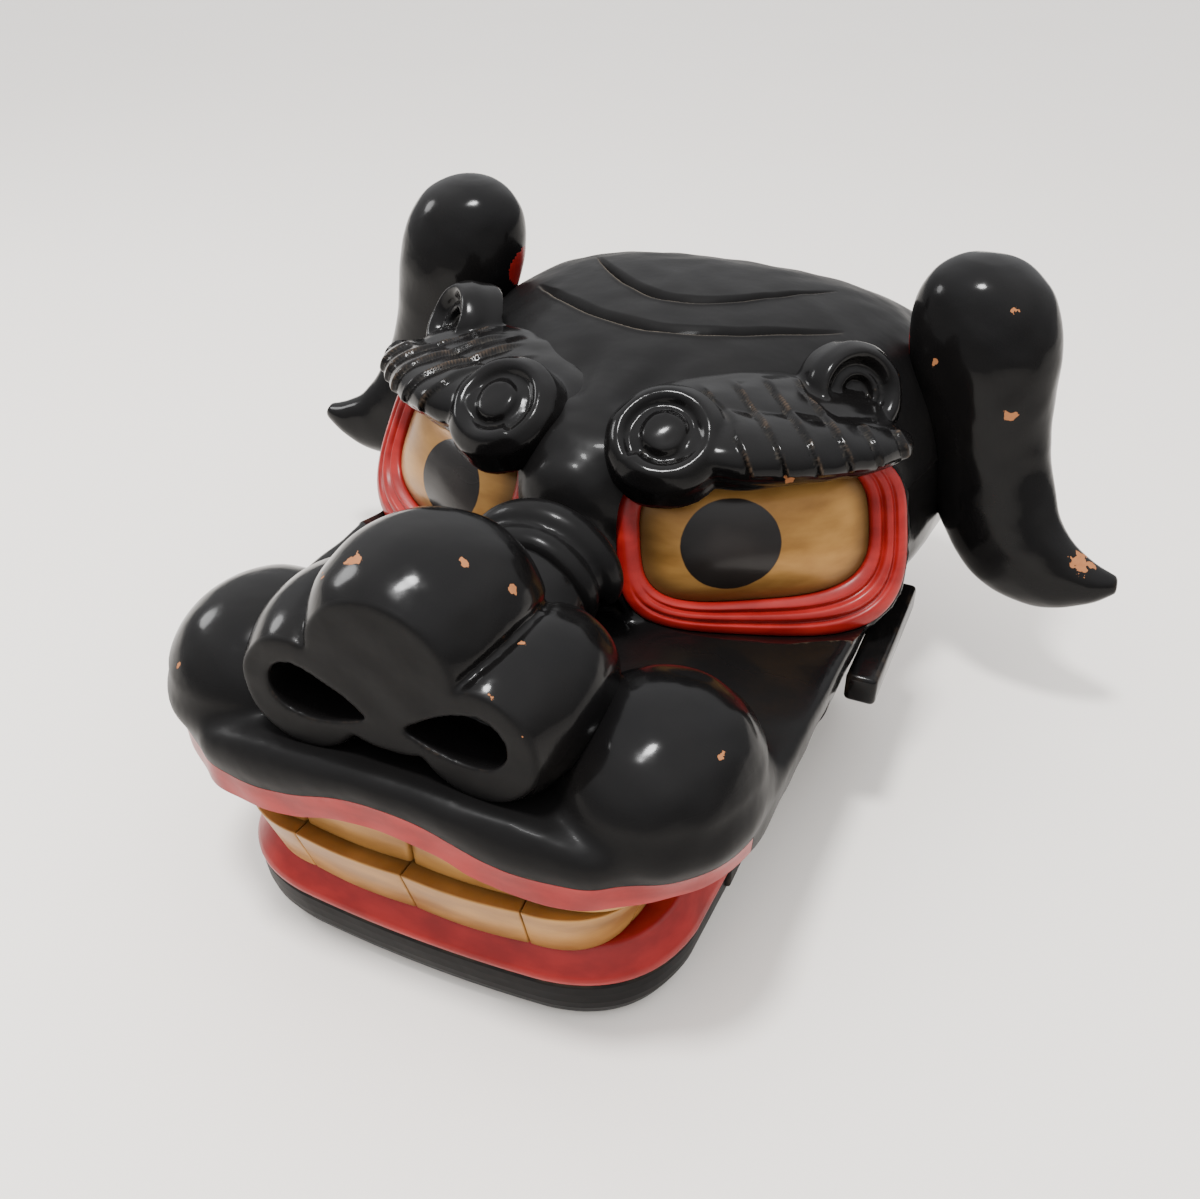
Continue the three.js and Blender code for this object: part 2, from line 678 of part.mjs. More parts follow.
const pocket = eyeColumn(RIM, GAP, -EYE_POCKET - GAP, EYE_CLEAR);
const rimRoom = eyeColumn(RIM, GAP, -EYE_POCKET - GAP, RIM_HEIGHT + GAP);
const eyeRoom = rimRoom.add(eyeBall(GAP));
const carved = headOuter().subtract(bothSides(pocket));
const browed = carved.add(bothSides(brow().subtract(eyeRoom)));
const hollow = headHollow();
const walls = browed.subtract(hollow);

const redBand = belowLip(true);
const lipFront = block(-FAR, FAR, -FAR, LIP_BACK_Y, 0, FAR);
const lipRoom = redBand.intersect(block(-FAR, FAR, -FAR, LIP_BACK_Y + GAP, 0, FAR));
const battenRoom = block(
  BATTEN.innerX - GAP, FAR, BATTEN.fromY - GAP, BATTEN.toY + GAP, 0, BATTEN.high + GAP,
);
const pinRoom = crossBar(PIN.fromX - 20, PIN.toX + GAP, HINGE_Y, HINGE_Z, PIN_RADIUS + GAP);
const pegRoom = crossBar(PEG.fromX - GAP, PEG.toX + 40, PEG.y, PEG.z, PEG.radius + GAP);
const lipTrim = belowLip(false).intersect(block(-FAR, FAR, -FAR, LIP_TRIM_Y, 0, FAR));
const sideTrim = block(-FAR, FAR, -FAR, FAR, -FAR, SIDE_EDGE_Z).add(lipTrim);
const headShell = walls
  .subtract(sideTrim)
  .subtract(lipRoom)
  .subtract(teethBand(upperTeeth, GAP))
  .subtract(bothSides(join([battenRoom, pinRoom, pegRoom])));
const upperLip = headOuter()
  .subtract(hollow)
  .intersect(belowLip(true, GAP))
  .subtract(belowLip(false))
  .subtract(teethBand(upperTeeth, GAP))
  .intersect(lipFront);

const black = { color: 0x0c0b0b, roughness: 0.22 };
const red = { color: 0xa81d17, roughness: 0.35 };
const gold = { color: 0x9a7a36, roughness: 0.45, metalness: 0.6 };
const wood = { color: 0xb98a55, roughness: 0.7 };

const lion = new THREE.Group();
const jaw = new THREE.Group();
jaw.position.x = JAW_SHIFT;
lion.add(jaw);

function place(name, made, { color, roughness, metalness }, group = lion) {
  const mesh = new THREE.Mesh(geometryOf(made), lacquer(color, roughness, metalness));
  mesh.name = name;
  group.add(mesh);
}

place('head_shell', headShell, black);
place('upper_lip', upperLip, red);
place('upper_teeth', teethRow(upperTeeth), gold);
place('lower_jaw', lowerJaw(), black, jaw);
place('jaw_lip', jawLip(), red, jaw);
place('lower_teeth', teethRow(lowerTeeth), gold, jaw);

const pairs = [
  { name: 'eye_rim', make: eyeRim, look: red },
  { name: 'eyeball', make: () => eyeBall(), look: gold },
  { name: 'ear', make: (word) => ear(EAR_DROP[word]), look: black },
  { name: 'ear_peg', make: earPeg, look: wood },
  { name: 'batten', make: batten, look: black },
  { name: 'jaw_pin', make: jawPin, look: wood },
];
pairs.forEach(({ name, make, look }) => {
  SIDES.forEach(({ word, sign }) => {
    const made = make(word);
    place(`${name}_${word}`, sign > 0 ? made : mirrored(made), look);
  });
});

export default lion;
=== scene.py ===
# %% [markdown]
# Lion dance head
# The object is a carved wooden head in black lacquer, with red rims and lips, gold eyes and teeth,
# and a lower jaw on a hinge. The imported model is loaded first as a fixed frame. Every Blender piece
# is made in the same frame, so nothing has to be fitted later.

# %% Load the frame
import math
import bmesh
import bpy
import numpy as np
from mathutils import Matrix, Vector


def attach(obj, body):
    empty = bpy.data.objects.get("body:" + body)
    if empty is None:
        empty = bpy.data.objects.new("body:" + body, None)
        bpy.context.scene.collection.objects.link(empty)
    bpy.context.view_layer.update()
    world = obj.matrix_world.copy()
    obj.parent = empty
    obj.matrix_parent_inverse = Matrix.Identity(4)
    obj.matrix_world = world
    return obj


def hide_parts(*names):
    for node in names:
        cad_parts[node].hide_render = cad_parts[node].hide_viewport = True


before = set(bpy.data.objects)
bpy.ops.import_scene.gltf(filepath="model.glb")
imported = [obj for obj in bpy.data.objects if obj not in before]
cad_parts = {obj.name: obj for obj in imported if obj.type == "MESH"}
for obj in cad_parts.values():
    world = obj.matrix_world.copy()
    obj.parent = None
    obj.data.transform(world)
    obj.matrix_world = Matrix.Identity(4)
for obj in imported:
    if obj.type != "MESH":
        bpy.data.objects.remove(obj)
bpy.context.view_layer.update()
MM = 0.001

# %% [markdown]
# A carver starts from a block and pushes the surface in until the form is right. The same idea works
# here: each form starts as a ball of points from one operator, and a short table says where the
# points go. Tables hold a row for each section, in millimetres, and a smooth curve runs between rows.

# %% Tables to smooth curves
def table(columns, *rows):
    """Rows of numbers under named columns."""
    return [dict(zip(columns.split(), row)) for row in rows]


def column(rows, name):
    return np.array([row[name] for row in rows], dtype=float)


def numbered(rows):
    """The rows with a column that counts them, for curves from row to row."""
    return [{**row, "step": index} for index, row in enumerate(rows)]


def smooth_between(rows, key, name, at):
    """Value of a column at any place, on a smooth curve through the rows."""
    places, values = column(rows, key), column(rows, name)
    slopes = np.gradient(values, places)
    index = np.clip(np.searchsorted(places, at) - 1, 0, len(places) - 2)
    step = places[index + 1] - places[index]
    t = np.clip((at - places[index]) / step, 0, 1)
    low, high = values[index], values[index + 1]
    rise = step * (t ** 3 - 2 * t ** 2 + t) * slopes[index] + step * (t ** 3 - t ** 2) * slopes[index + 1]
    return low * (2 * t ** 3 - 3 * t ** 2 + 1) + high * (3 * t ** 2 - 2 * t ** 3) + rise


def super_power(value, squareness):
    return np.sign(value) * np.abs(value) ** (2 / squareness)


def smooth_step(low, high, value):
    t = np.clip((value - low) / (high - low), 0, 1)
    return t * t * (3 - 2 * t)


# %% [markdown]
# A mesh object is made from a bmesh. The ball gives two numbers for each point: how far along its
# axis the point is, from 0 to 1, and the angle around that axis.

# %% Clay balls and mesh objects
def points_of(bm):
    return np.array([vert.co for vert in bm.verts])


def move_points(bm, places):
    for vert, place in zip(bm.verts, places):
        vert.co = place


def set_points(bm, x, y, z):
    move_points(bm, np.stack([x, y, z], axis=1) * MM)


def clay_ball(around, along):
    """A ball, with the share along its axis and the angle round it for each point."""
    bm = bmesh.new()
    bmesh.ops.create_uvsphere(bm, u_segments=around, v_segments=along, radius=1)
    places = points_of(bm)
    share = np.arccos(np.clip(-places[:, 2], -1, 1)) / math.pi
    angle = np.arctan2(places[:, 1], places[:, 0])
    return bm, share, angle


def object_from(bm, name):
    bm.normal_update()
    bmesh.ops.recalc_face_normals(bm, faces=bm.faces)
    mesh = bpy.data.meshes.new(name)
    bm.to_mesh(mesh)
    bm.free()
    made = bpy.data.objects.new(name, mesh)
    bpy.context.scene.collection.objects.link(made)
    return made


def joined(name, forms):
    """Several bmeshes as one object."""
    whole = bmesh.new()
    for form in forms:
        part = bpy.data.meshes.new(name)
        form.to_mesh(part)
        form.free()
        whole.from_mesh(part)
        bpy.data.meshes.remove(part)
    return object_from(whole, name)


# %% [markdown]
# Points of a finished mesh are read and written as one array, which is quick for many thousand points.
# Modifiers are worked into the mesh as soon as they are added, so the next step sees their result.

# %% Read, write and fuse a mesh
SHARP = math.radians(48)


def settle(made):
    """Works the modifiers into the mesh."""
    bpy.context.view_layer.update()
    graph = bpy.context.evaluated_depsgraph_get()
    mesh = bpy.data.meshes.new_from_object(made.evaluated_get(graph))
    made.modifiers.clear()
    made.data = mesh
    mesh.shade_smooth()
    mesh.set_sharp_from_angle(angle=SHARP)
    return made


def read_vectors(items, name):
    flat = np.empty(len(items) * 3)
    items.foreach_get(name, flat)
    return flat.reshape(-1, 3)


def mesh_points(made):
    return read_vectors(made.data.vertices, "co")


def mesh_normals(made):
    return read_vectors(made.data.vertices, "normal")


def write_points(made, places):
    made.data.vertices.foreach_set("co", np.ascontiguousarray(places).ravel())
    made.data.update()


def push_out(made, push):
    """Moves each point along its normal, in millimetres."""
    places = mesh_points(made) / MM + mesh_normals(made) * push[:, None]
    write_points(made, places * MM)


def fuse(made, voxel, smoothing):
    """One skin over forms that pass through each other, softened like sanded wood."""
    remesh = made.modifiers.new("fuse", "REMESH")
    remesh.mode = "VOXEL"
    remesh.voxel_size = voxel * MM
    soften = made.modifiers.new("soften", "SMOOTH")
    soften.factor = 0.5
    soften.iterations = smoothing
    return settle(made)


# %% [markdown]
# Three kinds of form are enough for the whole head. A section form is a row of rounded boxes, as for
# the skull. A round form is an egg. A bar is a roll along a curved line.

# %% Section forms, round forms and bars
CAP = 0.07
AHEAD = 0.02


def section_form(rows, centre_z, base_z, squareness, around=120, along=120):
    bm, share, angle = clay_ball(around, along)
    first, last = rows[0]["y"], rows[-1]["y"]
    inner = np.clip((share - CAP) / (1 - 2 * CAP), 0, 1)
    y = first + (last - first) * inner
    end = np.minimum(share, 1 - share) / CAP
    spread = np.sin(np.clip(end, 0, 1) * math.pi / 2)
    half = smooth_between(rows, "y", "half", y) * spread
    top = smooth_between(rows, "y", "top", y)
    rise = super_power(np.sin(angle), squareness)
    reach = np.where(rise > 0, top - centre_z, centre_z - base_z) * spread
    x = half * super_power(np.cos(angle), squareness)
    set_points(bm, x, y, centre_z + reach * rise)
    return bm


def round_form(at, radii, turn=(0, 0, 0), around=72, along=48):
    bm, _, _ = clay_ball(around, along)
    turn_x, turn_y, turn_z = (Matrix.Rotation(angle, 4, axis) for angle, axis in zip(turn, "XYZ"))
    spin = turn_z @ turn_y @ turn_x
    size = Matrix.Diagonal((*[radius * MM for radius in radii], 1))
    bm.transform(Matrix.Translation(Vector(at) * MM) @ spin @ size)
    return bm


def along_path(rows, share):
    """Point of a smooth line through the rows, with its direction, width and height."""
    steps, last = numbered(rows), len(rows) - 1
    at = share * last

    def value(name, place):
        return smooth_between(steps, "step", name, place)

    def point(place):
        return np.stack([value(axis, place) for axis in "xyz"], axis=1)

    way = point(np.minimum(at + AHEAD, last)) - point(np.maximum(at - AHEAD, 0))
    way = way / np.linalg.norm(way, axis=1, keepdims=True)
    return point(at), way, value("radius", at), value("tall", at)


def bar(rows, up, around, along, blunt):
    """A roll along a line; a larger blunt makes its ends fuller."""
    bm, share, angle = clay_ball(around, along)
    place, way, radius, tall = along_path(rows, share)
    end = np.sqrt(np.clip(1 - np.abs(2 * share - 1) ** blunt, 0, 1))
    side = np.cross(way, np.array(up, dtype=float))
    side /= np.linalg.norm(side, axis=1, keepdims=True)
    over = np.cross(side, way)
    ring = side * (np.cos(angle) * radius * end)[:, None] + over * (np.sin(angle) * tall * end)[:, None]
    move_points(bm, (place + ring) * MM)
    return bm


def both_sides(bm):
    """The form and its mirror image across the middle."""
    twin = bm.copy()
    twin.transform(Matrix.Scale(-1, 4, (1, 0, 0)))
    bmesh.ops.reverse_faces(twin, faces=twin.faces)
    return [bm, twin]


# %% [markdown]
# The big masses come first: skull, muzzle, cheeks, the bridge of the nose and the swellings that
# carry the eyes. The hollow has a table like the skull's. The lip line is the same on both sides, so
# its table holds one half.

# %% Tables of the big masses
BACK_Y = 237
SKULL = {"centre_z": 120, "base_z": 55, "squareness": 2.7}
MUZZLE = {"centre_z": 122, "base_z": 55, "squareness": 2.8}
HOLLOW = {"centre_z": 90, "base_z": 40, "squareness": 2.8}
CHEEK = {"at": (101, -169, 133), "radii": (48, 54, 45)}
BRIDGE = {"at": (0, -100, 150), "radii": (34, 80, 34), "turn": (0.12, 0, 0)}
NOSE_ROOT = {"at": (0, -33, 173), "radii": (33, 24, 38), "turn": (0.4, 0, 0)}
skull_rows = table(
    "y half top",
    (-52, 20, 196), (-42, 42, 211), (-20, 68, 221), (10, 102, 228), (40, 128, 233.5),
    (70, 148, 237.5), (100, 158, 240.5), (140, 165, 243), (180, 168, 240), (210, 168, 232),
    (BACK_Y + 12, 167, 216),
)
muzzle_rows = table(
    "y half top",
    (-236, 62, 139), (-233, 84, 144), (-224, 105, 144), (-212, 124, 142), (-198, 138, 141),
    (-180, 146, 140), (-150, 149, 137), (-110, 150, 130), (-60, 151, 124), (70, 154, 124),
)
hollow_rows = table(
    "y half top",
    (-213, 80, 131), (-192, 116, 135), (-150, 134, 128), (-115, 130, 116), (-70, 84, 104),
    (-35, 60, 104), (0, 58, 122), (34, 74, 180), (60, 112, 214), (90, 138, 225), (140, 152, 229),
    (190, 155, 224), (BACK_Y + 30, 154, 200),
)
lip_half = table(
    "x z red",
    (0, 118.5, 13), (22, 116.5, 13), (46, 109.5, 13), (76, 106, 13), (110, 107, 12), (150, 111, 9),
    (200, 111, 9),
)
lip_rows = [{**row, "x": -row["x"]} for row in lip_half[:0:-1]] + lip_half
print("rows: skull", len(skull_rows), "muzzle", len(muzzle_rows), "hollow", len(hollow_rows))

# %% [markdown]
# An eye is drawn in its own directions: along the face, up, and out of the wood. Its outline is a
# rounded box that hangs lower on the outer side. A column on that outline serves twice, as the
# swelling that carries the eye and as the tool that cuts its pocket.

# %% The eye's outline
EYE_AT = np.array([89.0, -5.0, 164.0])
EYE_TURN, EYE_TILT = math.radians(32), math.radians(25)
EYE_MATRIX = np.array(Matrix.Rotation(EYE_TURN, 3, "Z") @ Matrix.Rotation(-EYE_TILT, 3, "X"))
EYE_POCKET, EYE_SQUARENESS = 10, 3.1
BALL = {"left": 61, "right": 62, "low_left": 36, "low_right": 37, "high": 37, "corner": 3.6}
RIM = {"left": 74, "right": 83, "low_left": 46, "low_right": 66, "high": 44, "corner": 4.4}
COLUMN_CAP = 0.25


def eye_place(along, up, out, side=1):
    """From the eye's own directions to the frame, in millimetres."""
    place = np.stack([along, -out, up], axis=1) @ EYE_MATRIX.T + EYE_AT
    return place * np.array([side, 1, 1])


def eye_outline(reach, angle, grow=0.0):
    corner = (np.cos(angle) < 0) & (np.sin(angle) < 0)
    squareness = np.where(corner, reach["corner"], EYE_SQUARENESS)
    along = super_power(np.cos(angle), squareness)
    up = super_power(np.sin(angle), squareness)
    low = reach["low_left"] + (reach["low_right"] - reach["low_left"]) * (along + 1) / 2
    wide = np.where(along > 0, reach["right"], reach["left"]) + grow
    tall = np.where(up > 0, reach["high"], low) + grow
    return along * wide, up * tall


def eye_column(reach, grow, low, high, low_scale=1.0, side=1):
    """A block on the eye's outline, from one depth to another."""
    bm, share, angle = clay_ball(96, 40)
    along, up = eye_outline(reach, angle, grow)
    spread = np.clip(np.minimum(share, 1 - share) / COLUMN_CAP, 0, 1)
    rise = np.clip((share - COLUMN_CAP) / (1 - 2 * COLUMN_CAP), 0, 1)
    scale = spread * (low_scale + (1 - low_scale) * rise)
    move_points(bm, eye_place(along * scale, up * scale, low + (high - low) * rise, side) * MM)
    return bm


# %% [markdown]
# The masses pass through each other. A boolean union would leave a hard line at every joint, so a
# voxel remesh gives them one common skin instead, and smoothing rounds it like sanded wood.

# %% Fuse the big masses
masses = [section_form(skull_rows, **SKULL), section_form(muzzle_rows, **MUZZLE)]
masses += both_sides(round_form(**CHEEK))
masses += [round_form(**BRIDGE), round_form(**NOSE_ROOT)]
masses += [eye_column(RIM, 4, -60, 0, 0.86, side) for side in (1, -1)]
head = fuse(joined("head_wood", masses), 2.3, 20)
print("fused head", len(head.data.vertices), "points")


def uneven(made, size):
    """Small swells and hollows left by the carver's hand."""
    x, y, z = mesh_points(made).T / MM
    swell = np.sin(x / 7 + np.sin(y / 11)) * np.sin(y / 8 + np.sin(z / 9)) * np.sin(z / 6 + np.sin(x / 13))
    push_out(made, size * swell)


uneven(head, 0.5)

# %% [markdown]
# Two crescent steps cross the crown. Their edges need points that lie closer together than those of
# the fused skin, so the mesh is divided there first, as a carver changes to a finer knife.

# %% Refine where the knife will cut
CROWN_Z = 190
crescents = table(
    "middle end_x end_y depth width",
    (62, 98, 120, 7.5, 11), (100, 80, 170, 7.5, 11),
)


def crescent_place(cut, x, y, z):
    """How far behind the cut's edge a point is, and how strong the cut is there."""
    line = cut["middle"] + (cut["end_y"] - cut["middle"]) * (x / cut["end_x"]) ** 2
    fade = np.clip(1.25 * (1 - (np.abs(x) / cut["end_x"]) ** 3), 0, 1) * (z > CROWN_Z)
    return y - line, fade


def refine(made, near, cuts):
    bm = bmesh.new()
    bm.from_mesh(made.data)
    edges = [edge for edge in bm.edges if near[edge.verts[0].index] and near[edge.verts[1].index]]
    bmesh.ops.subdivide_edges(bm, edges=edges, cuts=cuts, use_grid_fill=True)
    bm.to_mesh(made.data)
    bm.free()


x, y, z = mesh_points(head).T / MM
near = np.zeros(len(x), dtype=bool)
for cut in crescents:
    behind, fade = crescent_place(cut, x, y, z)
    near |= (behind > -6) & (behind < 16) & (fade > 0)
refine(head, near, 2)
print("points near the cuts", int(near.sum()), "whole head", len(head.data.vertices))

# %% [markdown]
# Now the surface is carved. Each cut is a small push along the surface normal: the crescents with
# their raised edge, the shallow flutes that fan out over the forehead, the rolled lip and the groove
# above it.

# %% Carve the crown, the forehead and the lip
FLUTE = {"depth": 4.0, "number": 17, "centre_y": -95, "half_fan": 0.62, "low_z": 200}
ROLL = {"tall": 17, "swell": 1.2, "groove": 0.6, "groove_share": 0.6}
x, y, z = mesh_points(head).T / MM
push = np.zeros(len(x))
for cut in crescents:
    behind, fade = crescent_place(cut, x, y, z)
    wall = smooth_step(-0.7, 0.7, behind)
    slope = np.clip(1 - behind / (cut["width"] * (0.25 + 0.75 * fade)), 0, 1) ** 1.3
    push -= cut["depth"] * fade * wall * slope
    push += 0.7 * fade * np.exp(-((behind + 2.4) / 1.4) ** 2)
spread = np.arctan2(x, y - FLUTE["centre_y"])
flute_fade = smooth_step(-18, 2, y) * (1 - smooth_step(18, 52, y))
flute_fade = flute_fade * (np.abs(spread) < FLUTE["half_fan"]) * (z > FLUTE["low_z"])
push -= FLUTE["depth"] * flute_fade * (0.5 - 0.5 * np.cos(spread * FLUTE["number"])) ** 2
red_top = smooth_between(lip_rows, "x", "z", x) + smooth_between(lip_rows, "x", "red", x)
lift = (z - red_top) / ROLL["tall"]
front = smooth_step(-60, -120, y) * (mesh_normals(head)[:, 2] > -0.6)
push += front * ROLL["swell"] * np.sin(np.clip(lift, 0, 1) * math.pi)
push -= front * ROLL["groove"] * np.sin(np.clip((lift - 1) / ROLL["groove_share"], 0, 1) * math.pi)
push_out(head, push)
print("deepest cut", round(float(-push.min()), 1), "mm")

# %% [markdown]
# Cutting tools are closed solids too. A boolean modifier takes them away from the wood, one after
# the other, because a tool made of several crossing solids can confuse it.

# %% Cutting tools
GAP = 0.3
WIDE = 300
FAR = 400


def block(low, high):
    bm = bmesh.new()
    bmesh.ops.create_cube(bm, size=1)
    low, high = Vector(low) * MM, Vector(high) * MM
    size = Matrix.Diagonal((*(high - low), 1))
    bm.transform(Matrix.Translation((low + high) / 2) @ size)
    return bm


def side_block(box, side, shift=0):
    """A block on one side of the head, from its reach in x, y and z."""
    inner, outer = sorted(side * edge + shift for edge in box["x"])
    return block((inner, box["y"][0], box["z"][0]), (outer, box["y"][1], box["z"][1]))


def pushed(bm, axis, level):
    """Pushes a flat sheet along one axis to a level, which makes it a solid."""
    made = bmesh.ops.extrude_face_region(bm, geom=list(bm.faces))
    for item in made["geom"]:
        if isinstance(item, bmesh.types.BMVert):
            item.co["xyz".index(axis)] = level * MM
    bmesh.ops.recalc_face_normals(bm, faces=bm.faces)
    return bm


def wave_block(y_from, y_to, lift, red_share, z_end):
    """Everything between the lip line, raised by lift, and a flat level."""
    bm = bmesh.new()
    bmesh.ops.create_grid(bm, x_segments=160, y_segments=1, size=1)
    sheet = points_of(bm)
    across = sheet[:, 0] * lip_rows[-1]["x"]
    level = smooth_between(lip_rows, "x", "z", across) + lift
    level = level + red_share * smooth_between(lip_rows, "x", "red", across)
    depth = np.where(sheet[:, 1] < 0, y_from, y_to)
    set_points(bm, across, depth, level)
    return pushed(bm, "z", z_end)


def cut_away(made, tools):
    """Takes closed forms away from an object, one after the other."""
    for form in tools:
        tool = object_from(form, "tool")
        cut = made.modifiers.new("cut", "BOOLEAN")
        cut.operation = "DIFFERENCE"
        cut.object = tool
        cut.solver = "MANIFOLD"
        settle(made)
        bpy.data.objects.remove(tool)
    return made


def copy_of(made, name):
    twin = made.copy()
    twin.data = made.data.copy()
    twin.name = name
    bpy.context.scene.collection.objects.link(twin)
    return twin


# %% [markdown]
# The red lip is the lower edge of the same wood, so it is cut from a copy of the head and fits
# without a gap to fill. The head then loses the hollow, the flat back, everything below the lip line,
# the eye pockets, the room for the jaw's hinge and the seats of the side battens.

# %% Cut the lip from the same wood, then hollow the head
LIP_BACK_Y = -176
SIDE_EDGE_Z = 92
HINGE_ROOM = {"x": (100, 139), "y": (34, 110), "z": (30, 116)}
BATTEN = {"x": (150, 167), "y": (-24, 78), "z": (84, 101)}
BATTEN_SEAT = {
    "x": (BATTEN["x"][0] - GAP, 240), "y": (BATTEN["y"][0] - GAP, BATTEN["y"][1] + GAP),
    "z": (40, BATTEN["z"][1] + GAP),
}


def hollow_form():
    return section_form(hollow_rows, **HOLLOW, around=80, along=80)


lip = copy_of(head, "lip_edge")
cut_away(lip, [
    wave_block(-WIDE, 40, -GAP, 1, FAR), wave_block(-WIDE, WIDE, 0, 0, -50),
    block((-WIDE, LIP_BACK_Y, -60), (WIDE, FAR, 420)), hollow_form(),
])
head_tools = [
    hollow_form(), block((-WIDE, BACK_Y, -50), (WIDE, FAR, FAR)),
    block((-WIDE, -FAR, -50), (WIDE, FAR, SIDE_EDGE_Z)),
    wave_block(-WIDE, LIP_BACK_Y + GAP, 0, 1, -50), wave_block(LIP_BACK_Y - 5, -60, 0, 0, -50),
]
for side in (1, -1):
    head_tools.append(eye_column(RIM, GAP, -EYE_POCKET - GAP, 24, 1.0, side))
    head_tools += [side_block(HINGE_ROOM, side), side_block(BATTEN_SEAT, side)]
cut_away(head, head_tools)
print("head", len(head.data.polygons), "faces, lip", len(lip.data.polygons), "faces")

# %% [markdown]
# The nose is a ball with a wing on each side, cut off flat in front. Each wing has a deep nostril
# shaped like a comma, cut by a pushed outline. A second fine remesh rounds the cut edges, as sanding
# and lacquer do on the real one.

# %% Nose
NOSE_FACE_Y = -224
NOSTRIL = {"x": 44, "z": 173, "radius": 13, "tip_x": 8, "tip_z": 168, "depth": 26}
NOSE_BALL = {"at": (0, -184, 193), "radii": (50, 56, 49)}
NOSE_WING = {"at": (45, -188, 170.5), "radii": (37, 54, 37), "turn": (0, 0, -0.15)}
SEPTUM = {"at": (0, -196, 161), "radii": (32, 34, 12)}
CREASE_DEPTH, BALL_CREASE, WING_CREASE = 3.4, 0.04, 0.05


def bend(start, control, end, count):
    t = np.linspace(0, 1, count, endpoint=False)[:, None]
    return (1 - t) ** 2 * np.array(start) + 2 * t * (1 - t) * np.array(control) + t ** 2 * np.array(end)


def nostril_outline():
    x, z, radius = NOSTRIL["x"], NOSTRIL["z"], NOSTRIL["radius"]
    tip = (NOSTRIL["tip_x"], NOSTRIL["tip_z"])
    under = bend(tip, (x - radius, z - radius - 3), (x, z - radius), 16)
    turn = np.linspace(-math.pi / 2, math.pi / 2, 20, endpoint=False)
    end = np.stack([x + radius * np.cos(turn), z + radius * np.sin(turn)], axis=1)
    over = bend((x, z + radius), (x - radius * 1.4, z + radius - 2), tip, 16)
    return np.concatenate([under, end, over])


def pushed_outline(outline, y_from, y_to):
    """A closed outline in the front view, pushed straight back."""
    bm = bmesh.new()
    bmesh.ops.create_circle(bm, cap_ends=True, segments=len(outline), radius=1)
    set_points(bm, outline[:, 0], np.full(len(outline), y_from), outline[:, 1])
    return pushed(bm, "y", y_to)


def egg_value(places, at, radii):
    """Below 0 inside the egg, 0 on its skin and above 0 outside."""
    return np.sqrt((((places - np.array(at)) / np.array(radii)) ** 2).sum(axis=1)) - 1


def carve_crease(made, depth):
    """A knife line where the wings meet the ball."""
    places = mesh_points(made) / MM
    one_side = np.abs(places) * np.array([1, -1, 1])
    ball = egg_value(places, **NOSE_BALL) / BALL_CREASE
    wing = egg_value(one_side, NOSE_WING["at"], NOSE_WING["radii"]) / WING_CREASE
    push_out(made, -depth * np.exp(-(ball ** 2 + wing ** 2)))


nose_forms = [round_form(**NOSE_BALL)] + both_sides(round_form(**NOSE_WING)) + [round_form(**SEPTUM)]
nose = fuse(joined("nose", nose_forms), 1.8, 3)
carve_crease(nose, CREASE_DEPTH)
nostril = pushed_outline(nostril_outline(), NOSE_FACE_Y - 20, NOSE_FACE_Y + NOSTRIL["depth"])
cut_away(nose, [block((-WIDE, -FAR, 0), (WIDE, NOSE_FACE_Y, FAR))] + both_sides(nostril))
fuse(nose, 1.3, 5)
uneven(nose, 0.5)
print("nose", len(nose.data.polygons), "faces")

# %% [markdown]
# Behind the nose two rolls of skin arch over the bridge. They are bars along a half circle that goes
# a little past its ends, so that the rolls sink into the wood.

# %% Rolls behind the nose
ARCH_Z, ARCH_PAST = 151, 0.15
rolls = []
for y, radius, thick in ((-75, 36, 10), (-91, 31, 8.5)):
    rows = []
    for turn in np.linspace(-ARCH_PAST, math.pi + ARCH_PAST, 9):
        at = {"x": radius * math.cos(turn), "y": y, "z": ARCH_Z + radius * math.sin(turn)}
        rows.append({**at, "radius": thick, "tall": thick})
    rolls.append(bar(rows, (0, 1, 0), 32, 72, 6))
nose_rolls = fuse(joined("nose_rolls", rolls), 1.6, 14)
print("rolls", len(nose_rolls.data.polygons), "faces")

# %% [markdown]
# Each brow is a flattened bar on a shelf, with a curl at each end. A curl is a ball pressed into a
# disc with a boss, a groove that moves out of centre, and a thick ring. Once these are fused, bands
# are carved across the brow like shingles, each with its step on the inner side.

# %% Brows
brow_rows = table(
    "x y z radius tall",
    (30, -14, 208, 22, 14), (60, -13, 212, 26, 15), (90, -3, 211, 27, 15), (121, 22, 208, 25, 14),
    (150, 54, 203, 19, 11),
)
BROW_SHELF = {"at": (74, 16, 211), "radii": (76, 45, 18), "turn": (0.2, 0, 0.54)}
inner_curl = {
    "at": (46.5, -31, 223), "facing": (0.1, -0.58, 0.8), "radius": 33,
    "boss": 12, "high": 3, "ring": 3.6, "off": 5,
}
outer_curl = {
    "at": (123, 54, 224), "facing": (0.6, -0.62, 0.5), "radius": 30,
    "boss": 9, "high": -6, "ring": 6, "off": 6,
}


